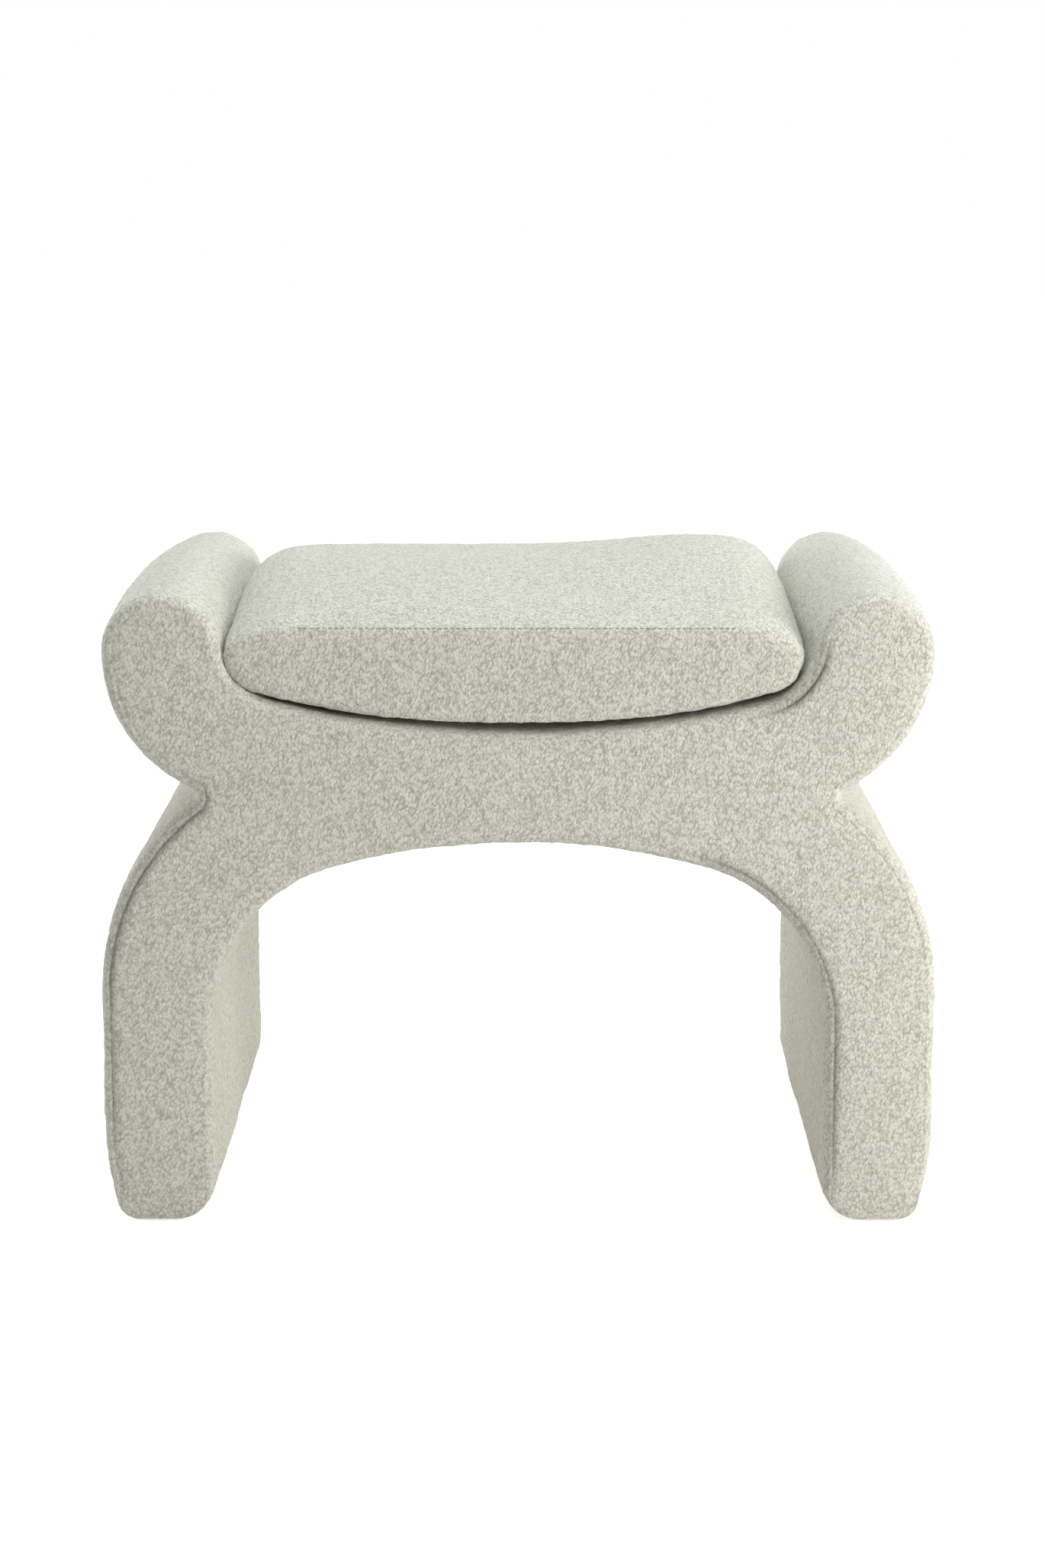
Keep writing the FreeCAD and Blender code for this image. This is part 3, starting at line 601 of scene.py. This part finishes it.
def roughen(piece, coarse, fine):
    """Uneven padding and the lumps of the cloth, in the mesh itself, fading out at its open edges."""
    mesh = piece.data
    loose = piece.vertex_groups.new(name="away_from_seams")
    loose.add(list(range(len(mesh.vertices))), 1.0, "REPLACE")
    shape = bmesh.new()
    shape.from_mesh(mesh)
    border = [vertex.co.copy() for vertex in shape.verts if vertex.is_boundary]
    shape.free()
    if border:
        edge = place_tree(border)
        for vertex in mesh.vertices:
            away = edge.find(vertex.co)[2]
            if away < SEAM_REACH:
                loose.add([vertex.index], away / SEAM_REACH, "REPLACE")
    for name, scale, strength in (("padding", PADDING_SIZE, coarse), ("lumps", LUMP_SIZE, fine)):
        title = f"cloth_{name}"
        texture = bpy.data.textures.get(title) or bpy.data.textures.new(title, "CLOUDS")
        texture.noise_scale = scale
        press = piece.modifiers.new(name, "DISPLACE")
        press.texture = texture
        press.texture_coords = "GLOBAL"
        press.strength = strength
        press.mid_level = 0.5
        press.vertex_group = loose.name


def dress(piece, material, body, slot, *nodes):
    """Give a piece its material and its body, and hide the solids that it stands for."""
    piece.data.materials.append(material)
    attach(piece, body)
    if nodes:
        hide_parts(*nodes)


def strip(name, skin, shades, first, last, nodes):
    """A band of cloth between two points of the outline."""
    count = len(skin)
    picked = [index % count for index in range(first, last + 1)]
    piece = new_piece(name, skin[picked].reshape(-1, 3), grid_faces(len(picked), skin.shape[1]))
    shade_seams(piece, shades[picked].ravel())
    roughen(piece, *STOOL_RELIEF)
    dress(piece, boucle(bpy.context.scene.pouf_finish), "stool", "boucle", *nodes)


class POUF_OT_bands(bpy.types.Operator):
    """Wrap the arch, the legs and the rolled saddle in bands of cloth."""

    bl_idname = "pouf.bands"
    bl_label = "Bands"

    def execute(self, context):
        sizes = context.scene.pouf_sizes
        skin, shades = stool_skin(sizes)
        count = len(skin)
        sole = outline_mark("outer sole")
        waist = outline_mark("waist out")
        bands = {"arch": (count - sole, count + sole), "right_leg": (sole, waist),
                 "saddle": (waist, count - waist), "left_leg": (count - waist, count - sole)}
        for part, (first, last) in bands.items():
            strip(f"{part}_band", skin, shades, first, last, (f"{part}_cover", f"{part}_foam"))
        return {"FINISHED"}


def fill_outline(loop, step):
    """Points and triangles that fill an outline, then each point's distance to the nearest edge point."""
    low, high = loop.min(axis=0), loop.max(axis=0)
    rows = np.arange(low[1], high[1], step * math.sqrt(3) / 2)
    inner = []
    for number, level in enumerate(rows):
        start = low[0] + step * (number % 2) / 2
        inner.extend((across, level) for across in np.arange(start, high[0], step))
    inner = np.array(inner)
    edge = place_tree([(*point, 0) for point in loop])
    away = np.array([edge.find((*point, 0))[2] for point in inner])
    inner = inner[away > step * EDGE_CLEAR]
    border = len(loop)
    sides = [(index, (index + 1) % border) for index in range(border)]
    flat = [Vector(point) for point in np.concatenate([loop, inner])]
    points, _, faces, *_ = geometry.delaunay_2d_cdt(flat, sides, [], 1, 1e-6)
    points = np.array([(point.x, point.y) for point in points])
    found = [edge.find((*point, 0)) for point in points]
    nearest, away = (np.array([near[part] for near in found]) for part in (1, 2))
    return points, faces, away, nearest


class POUF_OT_panels(bpy.types.Operator):
    """Set the front and rear panels into the seams of the bands."""

    bl_idname = "pouf.panels"
    bl_label = "Front and rear panels"

    def execute(self, context):
        sizes = context.scene.pouf_sizes
        for end, way in (("front", -1), ("rear", 1)):
            loop = whole_outline(sizes, way, sizes.edge_in)
            points, faces, away, nearest = fill_outline(loop, sizes.stitch)
            dip = np.exp(-away / sizes.seam_width)
            swell = sizes.seam_groove * along_seam(PULL)[nearest] * dip
            swell -= sizes.panel_swell * (1 - np.exp(-away / SWELL_REACH))
            shades = along_seam(SHADE)[nearest] * dip
            places = np.column_stack([points[:, 0], way * (sizes.depth / 2 - swell), points[:, 1]])
            turned = [face[::-1] for face in faces] if way > 0 else faces
            piece = new_piece(f"{end}_panel", places, turned)
            shade_seams(piece, shades)
            roughen(piece, *STOOL_RELIEF)
            dress(piece, boucle(context.scene.pouf_finish), "stool", "boucle",
                  f"{end}_cover", f"{end}_foam_pad")
        return {"FINISHED"}


# How far the sewn cushion stays above its gap to the seat
CUSHION_REST = 0.001
# Points along each part of the cushion's outline, from the middle of its bottom to the middle of its top
CUSHION_STEPS = {"bottom": 40, "lower end": 14, "upper end": 18, "top": 40}


def cushion_section(sizes, top, inset):
    """Closed outline of the cushion across its width. Its upper ends are flatter where it is low."""
    saddle = (0, sizes.saddle_height + sizes.saddle_radius)
    seat = sizes.saddle_radius - sizes.cushion_gap - CUSHION_REST
    low_x = sizes.cushion_half - sizes.cushion_low
    low = (low_x, saddle[1] - math.sqrt((seat - sizes.cushion_low) ** 2 - low_x ** 2))
    bottom_end = point_toward(saddle, low, seat)
    full = (top - sizes.cushion_edge) / sizes.cushion_crown
    run = sizes.cushion_front_end + (sizes.cushion_end - sizes.cushion_front_end) * full
    steps = CUSHION_STEPS
    turn = np.linspace(0, math.pi / 2, steps["upper end"], endpoint=False)
    upper_end = np.column_stack([sizes.cushion_half - run * (1 - np.cos(turn)),
                                 low[1] + (top - low[1]) * np.sin(turn)])
    right = np.concatenate([
        run_arc(saddle, (0, saddle[1] - seat), bottom_end, steps["bottom"], True),
        run_arc(low, bottom_end, (sizes.cushion_half, low[1]), steps["lower end"], True),
        upper_end,
        run_line((sizes.cushion_half - run, top), (0, top), steps["top"]),
        np.array([(0, top)]),
    ])
    return draw_in(np.concatenate([right, right[-2:0:-1] * (-1, 1)]), inset)


def mesh_points(mesh):
    """A mesh's points as rows."""
    points = np.empty(len(mesh.vertices) * 3)
    mesh.vertices.foreach_get("co", points)
    return points.reshape(-1, 3)


def settle(piece, modifier):
    """Apply a piece's modifier to its mesh."""
    depsgraph = bpy.context.evaluated_depsgraph_get()
    made = bpy.data.meshes.new_from_object(piece.evaluated_get(depsgraph))
    piece.modifiers.remove(modifier)
    old, piece.data = piece.data, made
    made.name = piece.name
    bpy.data.meshes.remove(old)


def reshape(piece, kind, **settings):
    """Add a modifier to a piece and apply it at once."""
    modifier = piece.modifiers.new(kind.lower(), kind)
    for key, value in settings.items():
        setattr(modifier, key, value)
    settle(piece, modifier)


class POUF_OT_cushion(bpy.types.Operator):
    """Sew, stuff and seat the loose cushion."""

    bl_idname = "pouf.cushion"
    bl_label = "Seat cushion"

    # The sewn shape: its rings, its rounded front and rear edges, its fuller right end and its mesh step
    ring_count = 90
    ring_start = 0.0015
    edge_turn = 0.017
    edge_round = 0.0068
    plump_bend = 1.6
    voxel = 0.005
    # The seams: how far in and out they lie, how deep and wide they dip, and how far they hold the cloth
    seam_inset = 0.006
    seam_out = 0.001
    seam_dip = 0.0014
    seam_wide = 0.0028
    seam_hold = 0.008
    # The stuffing: frames of the simulation and the furthest that a point may move
    frames = 20
    most_move = 0.009
    # The seat: where the front lifts off, over what run and half width, and the gap to the rolls
    lift_start = 0.12
    lift_run = 0.085
    lift_half = 0.18
    roll_gap = 0.002
    # The zip's slot: how far it runs past the teeth, its soft edge, its depth and its cloth's direction
    slot_past = 0.006
    slot_edge = 0.0035
    slot_deep = 0.0006
    slot_facing = 0.3
    # Share of the pitch that a stitch fills
    stitch_share = 0.62

    def blank(self, sizes):
        """The cushion's sewn shape before it is stuffed."""
        half = sizes.cushion_depth / 2
        rings = []
        inner = np.linspace(-half + self.ring_start, half - self.ring_start, self.ring_count)
        for place in (-half, *inner, half):
            near = min(max(1 - (half - abs(place)) / self.edge_turn, 0), 1)
            inset = self.edge_round * (1 - math.sqrt(1 - near ** 2))
            full = 1 - (place / half) ** 2
            loop = cushion_section(sizes, sizes.cushion_edge + sizes.cushion_crown * full, inset)
            right = np.clip(loop[:, 0] / sizes.cushion_half, 0, 1)
            upper = np.clip((loop[:, 1] - sizes.cushion_edge) / sizes.cushion_crown, 0, 1)
            loop[:, 1] += sizes.cushion_plump * full * upper * np.sin(right ** self.plump_bend * math.pi)
            loop[:, 0] *= 1 - sizes.cushion_tuck * right ** 2
            forward = sizes.cushion_forward * max(-place / half, 0) ** 2
            rings.append(np.column_stack([loop[:, 0], np.full(len(loop), place - forward), loop[:, 1]]))
        columns = len(rings[0])
        faces = grid_faces(len(rings), columns, True)
        last = (len(rings) - 1) * columns
        faces += [tuple(range(columns))[::-1], tuple(range(last, last + columns))]
        return new_piece("cushion_shell", np.concatenate(rings), faces)

    def seam_line(self, sizes, way):
        """Points of the seam round the front or rear panel."""
        loop = cushion_section(sizes, sizes.cushion_edge, self.seam_inset)
        place = sizes.cushion_depth / 2 + self.seam_out + (sizes.cushion_forward if way < 0 else 0)
        return np.column_stack([loop[:, 0], np.full(len(loop), way * place), loop[:, 1]])

    def seam_tree(self, sizes):
        """A tree that finds the nearest point of both seams."""
        return place_tree(np.concatenate([self.seam_line(sizes, -1), self.seam_line(sizes, 1)]))

    def stuff(self, piece, sizes):
        """Swell the cushion between its seams with a cloth simulation."""
        start = mesh_points(piece.data)
        held = piece.vertex_groups.new(name="seams")
        seams = self.seam_tree(sizes)
        for index, point in enumerate(start):
            if seams.find(point)[2] < self.seam_hold:
                held.add([index], 1.0, "REPLACE")
        cloth = piece.modifiers.new("stuffing", "CLOTH")
        settings = cloth.settings
        settings.quality = 6
        settings.mass = 0.3
        settings.tension_stiffness = 20
        settings.compression_stiffness = 20
        settings.bending_stiffness = 1.0
        settings.use_pressure = True
        settings.uniform_pressure_force = 4
        settings.effector_weights.gravity = 0
        settings.vertex_group_mass = held.name
        cloth.collision_settings.use_collision = False
        cloth.point_cache.frame_start = 1
        cloth.point_cache.frame_end = self.frames
        scene = bpy.context.scene
        for number in range(1, self.frames + 1):
            scene.frame_set(number)
        settle(piece, cloth)
        scene.frame_set(1)
        move = mesh_points(piece.data) - start
        reach = np.linalg.norm(move, axis=1)[:, None]
        move *= np.minimum(1, self.most_move / np.maximum(reach, 1e-9))
        piece.data.vertices.foreach_set("co", (start + move).ravel())
        piece.data.update()

    def seat(self, points, sizes):
        """Keep the cushion out of the saddle and the rolls."""
        saddle = np.array((0, sizes.saddle_height + sizes.saddle_radius))
        flat = points[:, (0, 2)]
        out = flat - saddle
        reach = np.linalg.norm(out, axis=1)
        ahead = np.clip((-points[:, 1] - self.lift_start) / self.lift_run, 0, 1)
        inside = np.clip(1 - (points[:, 0] / self.lift_half) ** 2, 0, 1)
        lift = sizes.cushion_lift * inside * ease(ahead)
        limit = sizes.saddle_radius - sizes.cushion_gap - lift
        deep = (reach > limit) & (out[:, 1] < 0)
        flat[deep] = saddle + out[deep] * (limit[deep] / reach[deep])[:, None]
        share = np.clip(points[:, 1] / (sizes.depth / 2), -1, 1)
        for way in (-1, 1):
            roll = np.array((way * sizes.roll_spacing, sizes.roll_height))
            out = flat - roll
            reach = np.linalg.norm(out, axis=1)
            limit = roll_radius(sizes, share) + self.roll_gap
            deep = reach < limit
            flat[deep] = roll + out[deep] * (limit[deep] / reach[deep])[:, None]
        points[:, 0] = flat[:, 0]
        points[:, 2] = flat[:, 1]
        return points

    def sew(self, piece, sizes):
        """Draw in the seams, open the zip's slot and seat the cushion."""
        mesh = piece.data
        points = mesh_points(mesh)
        normals = np.array([vertex.normal for vertex in mesh.vertices])
        seams = self.seam_tree(sizes)
        near = np.array([seams.find(point)[2] for point in points])
        points -= normals * (self.seam_dip * np.exp(-(near / self.seam_wide) ** 2))[:, None]
        middle = (TAPE_BOX[0][2] + TAPE_BOX[1][2]) / 2
        reach = (TAPE_BOX[1][2] - TAPE_BOX[0][2]) / 2
        above = np.abs(points[:, 2] - middle) - reach
        beyond = np.abs(points[:, 0]) - TEETH_BOX[1][0] - self.slot_past
        shut = np.clip(np.maximum(above, beyond) / self.slot_edge, 0, 1)
        floor = TAPE_BOX[0][1] - self.slot_deep
        rear = (points[:, 1] > floor) & (normals[:, 1] > self.slot_facing)
        points[rear, 1] = floor + (points[rear, 1] - floor) * shut[rear]
        points = self.seat(points, sizes)
        mesh.vertices.foreach_set("co", points.ravel())
        mesh.update()

    def execute(self, context):
        sizes = context.scene.pouf_sizes
        piece = self.blank(sizes)
        reshape(piece, "REMESH", mode="VOXEL", voxel_size=self.voxel)
        reshape(piece, "SMOOTH", iterations=3)
        self.stuff(piece, sizes)
        reshape(piece, "SUBSURF", levels=1)
        piece.data.shade_smooth()
        self.sew(piece, sizes)
        piece.vertex_groups.clear()
        roughen(piece, *CUSHION_RELIEF)
        dress(piece, boucle(context.scene.pouf_finish), "cushion", "boucle",
              "cushion_wrap_cover", "cushion_front_panel", "cushion_rear_upper_panel",
              "cushion_rear_lower_panel", "cushion_fibre_wrap", "cushion_foam_core")
        self.stitch(context, piece)
        return {"FINISHED"}

    def stitch(self, context, piece):
        """Lay a row of stitches along the cushion's upper front and rear seams."""
        sizes = context.scene.pouf_sizes
        size = (sizes.stitch_pitch * self.stitch_share, sizes.stitch_thick, sizes.stitch_thick)
        context.view_layer.update()
        cover = piece.evaluated_get(context.evaluated_depsgraph_get())
        boxes = []
        for way in (-1, 1):
            for across in np.arange(-sizes.stitch_run, sizes.stitch_run, sizes.stitch_pitch):
                start = Vector((across, way * sizes.depth, sizes.cushion_edge - sizes.stitch_drop))
                hit, place, *_ = cover.ray_cast(start, Vector((0, -way, 0)))
                if not hit:
                    raise RuntimeError("A stitch misses the cushion")
                boxes.append((place, size))
        row = boxed_piece("cushion_stitches", boxes)
        thread = moulded("waxed_thread", context.scene.pouf_finish.thread, roughness=0.6, grain=2500.0)
        dress(row, thread, "cushion", "boucle")


# Share of a small box's least size that its corners lose
BOX_ROUND = 0.22


def small_box(mesh, centre, size):
    """A box with its corners taken off."""
    made = bmesh.ops.create_cube(mesh, size=1)["verts"]
    for vertex in made:
        vertex.co = Vector(centre) + Vector(part * whole for part, whole in zip(vertex.co, size))
    edges = list({edge for vertex in made for edge in vertex.link_edges})
    bmesh.ops.bevel(mesh, geom=edges, offset=min(size) * BOX_ROUND, segments=2,
                    affect="EDGES", profile=0.5)


def boxed_piece(name, boxes):
    """A piece made of softened boxes."""
    mesh = bmesh.new()
    for centre, size in boxes:
        small_box(mesh, centre, size)
    made = bpy.data.meshes.new(name)
    mesh.to_mesh(made)
    mesh.free()
    made.shade_smooth()
    return place_new(name, made)


class POUF_OT_zip(bpy.types.Operator):
    """Fit the zip's tape, teeth, stops and slider at the back of the cushion."""

    bl_idname = "pouf.zip"
    bl_label = "Zip"

    # Tape: its grid, what is sewn under the cover above and below, its ribs, its thickness and its depth
    tape_columns = 120
    tape_rows = 9
    tape_lap = 0.003
    tape_rib = 0.0001
    tape_thick = 0.0008
    tape_sink = 0.0003
    # Ends of the tape: how deep they bend into the cushion, how far past the teeth and over what run
    tuck_deep = 0.009
    tuck_start = 0.002
    tuck_run = 0.012
    # Teeth: from one to the next, the share of that which a tooth fills, then a tooth's size and place
    tooth_pitch = 0.0024
    tooth_share = 0.62
    tooth_thick = 0.0021
    tooth_high = 0.0026
    tooth_sink = 0.0001
    tooth_offset = 0.0007
    # Size and place of the cords along both edges of the teeth
    cord_thick = 0.0009
    cord_lift = 0.0005
    cord_offset = 0.0018
    # Slider: thickness of its walls, then the sizes and places of its lugs, bridge and pull
    slider_wall = 0.0012
    lug_size = (0.0016, 0.0022, 0.0022)
    lug_offset = 0.003
    lug_rise = 0.0009
    bridge_size = (0.0084, 0.0010, 0.0022)
    bridge_rise = 0.0021
    pull_size = (0.019, 0.0010, 0.0052)
    pull_offset = 0.0125
    pull_rise = 0.0012

    def tape(self, finish):
        """A ribbed tape with its ends bent into the cushion."""
        low, high = TAPE_BOX
        across = np.linspace(low[0], high[0], self.tape_columns)
        up = np.linspace(low[2] - self.tape_lap, high[2] + self.tape_lap, self.tape_rows)
        rib = self.tape_rib * np.cos(np.arange(self.tape_columns) * math.pi)
        past = np.abs(across) - TEETH_BOX[1][0] - self.tuck_start
        tuck = self.tuck_deep * np.clip(past / self.tuck_run, 0, 1)
        level = high[1] - self.tape_sink + rib - tuck
        points = [(x, level[column], z) for z in up for column, x in enumerate(across)]
        tape = new_piece("zip_tape_cloth", points, grid_faces(self.tape_rows, self.tape_columns))
        thick = tape.modifiers.new("thickness", "SOLIDIFY")
        thick.thickness = self.tape_thick
        thick.offset = 0
        dress(tape, woven_tape(finish), "cushion", "zip_fabric", "zip_tape")
        run = float(np.hypot(np.diff(across), np.diff(level)).sum())

    def teeth(self, finish):
        """Teeth that point up and down by turns, between two cords."""
        low, high = (np.array(corner) for corner in TEETH_BOX)
        middle = (low + high) / 2
        size = (self.tooth_pitch * self.tooth_share, self.tooth_thick, self.tooth_high)
        places = np.arange(low[0] + self.tooth_pitch / 2, high[0], self.tooth_pitch)
        boxes = []
        for number, place in enumerate(places):
            offset = self.tooth_offset if number % 2 else -self.tooth_offset
            boxes.append(((place, middle[1] - self.tooth_sink, middle[2] + offset), size))
        cord = (high[0] - low[0], self.cord_thick, self.cord_thick)
        for offset in (-self.cord_offset, self.cord_offset):
            boxes.append(((middle[0], low[1] + self.cord_lift, middle[2] + offset), cord))
        row = boxed_piece("zip_teeth_row", boxes)
        nylon = moulded("zip_nylon_teeth", finish.nylon, roughness=0.4, grain=700.0)
        dress(row, nylon, "cushion", "zip_nylon", "zip_teeth")

    def slider(self):
        """A slider of three walls, with a pull under a bridge on two lugs."""
        low, high = (np.array(corner) for corner in SLIDER_BOX)
        x, y, z = (low + high) / 2
        span = high - low
        wall = self.slider_wall
        return boxed_piece("zip_slider_pull", [
            ((x, high[1] - wall / 2, z), (span[0], wall, span[2])),
            ((x, y, low[2] + wall / 2), (span[0], span[1], wall)),
            ((x, y, high[2] - wall / 2), (span[0], span[1], wall)),
            ((x - self.lug_offset, high[1] + self.lug_rise, z), self.lug_size),
            ((x + self.lug_offset, high[1] + self.lug_rise, z), self.lug_size),
            ((x, high[1] + self.bridge_rise, z), self.bridge_size),
            ((x - self.pull_offset, high[1] + self.pull_rise, z), self.pull_size),
        ])

    def execute(self, context):
        finish = context.scene.pouf_finish
        self.tape(finish)
        self.teeth(finish)
        slider = self.slider()
        metal = worn_metal(finish)
        dress(slider, metal, "slider", "zip_metal", "zip_slider")
        for side in ("left", "right"):
            stop = frame["nodes"][f"{side}_zip_stop"]
            stop.data.materials.clear()
            stop.data.materials.append(metal)
        return {"FINISHED"}


class POUF_OT_frame(bpy.types.Operator):
    """Finish the hidden wooden frame and the glides."""

    bl_idname = "pouf.frame"
    bl_label = "Frame and glides"

    def execute(self, context):
        finish = context.scene.pouf_finish
        timber = finish.timber
        slots = {
            "plywood": raw_timber("frame_plywood", timber, rings=38.0),
            "timber": raw_timber("frame_softwood", toned(timber, 1.2), rings=24.0),
            "bent_board": raw_timber("frame_bent_board", toned(timber, 0.7), rings=90.0),
            "glide_plastic": moulded("glide_plastic", finish.glide, roughness=0.5, grain=500.0),
        }
        for row in frame["record"]["subparts"]:
            if row["material_slot"] in slots:
                node = frame["nodes"][row["node"]]
                node.data.materials.clear()
                node.data.materials.append(slots[row["material_slot"]])
        return {"FINISHED"}


class POUF_OT_stage(bpy.types.Operator):
    """Set the pouf on a pale floor in soft light, with the camera at the photograph's angle."""

    bl_idname = "pouf.stage"
    bl_label = "Stage"

    white = (1, 1, 1, 1)
    # Floor: its half width, its darker and paler tone, and how much brighter it looks than it is
    floor_half = 20
    floor_dark = (0.82, 0.82, 0.815, 1)
    floor_pale = (0.84, 0.84, 0.835, 1)
    floor_glow = 0.7
    # Each lamp's name, the setting with its power, its place, its aim, its width and its colour
    lamps = (
        ("key_lamp", "key", (1.4, -1.05, 0.75), (0, 0, 0.22), 0.9, (1.0, 0.995, 0.98)),
        ("fill_lamp", "fill", (-1.9, -0.6, 0.6), (0, 0, 0.22), 1.4, white[:3]),
        ("left_rear_lamp", "rear", (-1.35, 1.4, 0.4), (0, 0, 0.12), 1.0, white[:3]),
        ("right_rear_lamp", "rear", (1.35, 1.4, 0.4), (0, 0, 0.12), 1.0, white[:3]),
        ("top_lamp", "top", (0.1, 0.2, 2.6), (0, 0, 0.3), 2.2, (0.87, 0.945, 1.0)),
    )

    def floor(self):
        """A pale floor that looks brighter than the light it throws back."""
        made = bpy.data.meshes.new("floor")
        half = self.floor_half
        made.from_pydata([(-half, -half, 0), (half, -half, 0), (half, half, 0), (-half, half, 0)],
                         [], [(0, 1, 2, 3)])
        floor = place_new("floor", made)
        pale = new_finish("pale_floor")
        tone = pale.mix(pale.noise(pale.place(), 1.5, 1.0), self.floor_dark, self.floor_pale)
        matt = pale.node("ShaderNodeBsdfDiffuse", None, {"Color": tone})
        glow = pale.node("ShaderNodeEmission", None, {"Color": self.white, "Strength": self.floor_glow})
        lit = pale.node("ShaderNodeAddShader", None, {0: matt, 1: glow})
        both = pale.node("ShaderNodeMixShader", None, {0: pale.plainly_seen(), 1: matt, 2: lit})
        pale.node("ShaderNodeOutputMaterial", None, {"Surface": both})
        made.materials.append(pale.owner)

    def lamp(self, name, watts, place, aim, width, colour):
        """A round, soft lamp."""
        light = bpy.data.lights.new(name, "AREA")
        light.shape = "DISK"
        light.size = width
        light.energy = watts
        light.color = colour
        lamp = place_new(name, light)
        lamp.location = place
        lamp.rotation_euler = (Vector(aim) - Vector(place)).to_track_quat("-Z", "Y").to_euler()

    def sky(self, strength):
        """A world that looks white and gives less light."""
        sky = Finish(bpy.data.worlds.new("soft_sky"))
        dim = sky.node("ShaderNodeBackground", None, {"Color": self.white, "Strength": strength})
        plain = sky.node("ShaderNodeBackground", None, {"Color": self.white, "Strength": 1.0})
        both = sky.node("ShaderNodeMixShader", None, {0: sky.plainly_seen(), 1: dim, 2: plain})
        sky.node("ShaderNodeOutputWorld", None, {"Surface": both})
        return sky.owner

    def execute(self, context):
        scene = context.scene
        stage = scene.pouf_stage
        self.floor()
        for name, setting, *rest in self.lamps:
            self.lamp(name, getattr(stage, setting), *rest)
        scene.world = self.sky(stage.sky)
        scene.view_settings.view_transform = "Standard"

        camera = bpy.data.cameras.new("camera")
        camera.lens = stage.lens
        camera.sensor_width = 36
        camera.clip_end = 60
        eye = place_new("camera", camera)
        eye.location = (stage.across, -stage.distance, stage.eye)
        eye.rotation_euler = (math.pi / 2 - stage.pitch, 0, stage.yaw)
        scene.camera = eye
        return {"FINISHED"}


class POUF_PT_panel(bpy.types.Panel):
    """The pouf's pieces and sizes."""

    bl_idname = "POUF_PT_panel"
    bl_label = "Pouf"
    bl_space_type = "VIEW_3D"
    bl_region_type = "UI"
    bl_category = "Pouf"

    def draw(self, context):
        for operator in OPERATORS:
            self.layout.operator(operator.bl_idname)
        for title, group in GROUPS.items():
            column = self.layout.column()
            for name in group.__annotations__:
                column.prop(getattr(context.scene, title), name)


GROUPS = {"pouf_sizes": PoufSizes, "pouf_finish": PoufFinish, "pouf_stage": PoufStage}
OPERATORS = (POUF_OT_bands, POUF_OT_panels, POUF_OT_cushion, POUF_OT_zip, POUF_OT_frame, POUF_OT_stage)


def register():
    for name, group in GROUPS.items():
        bpy.utils.register_class(group)
        setattr(bpy.types.Scene, name, PointerProperty(type=group))
    for item in (*OPERATORS, POUF_PT_panel):
        bpy.utils.register_class(item)


def unregister():
    for item in (POUF_PT_panel, *reversed(OPERATORS)):
        bpy.utils.unregister_class(item)
    for name, group in GROUPS.items():
        delattr(bpy.types.Scene, name)
        bpy.utils.unregister_class(group)


def main():
    register()
    bpy.ops.pouf.bands()
    bpy.ops.pouf.panels()
    bpy.ops.pouf.cushion()
    bpy.ops.pouf.zip()
    bpy.ops.pouf.frame()
    bpy.ops.pouf.stage()


if __name__ == "__main__":
    main()
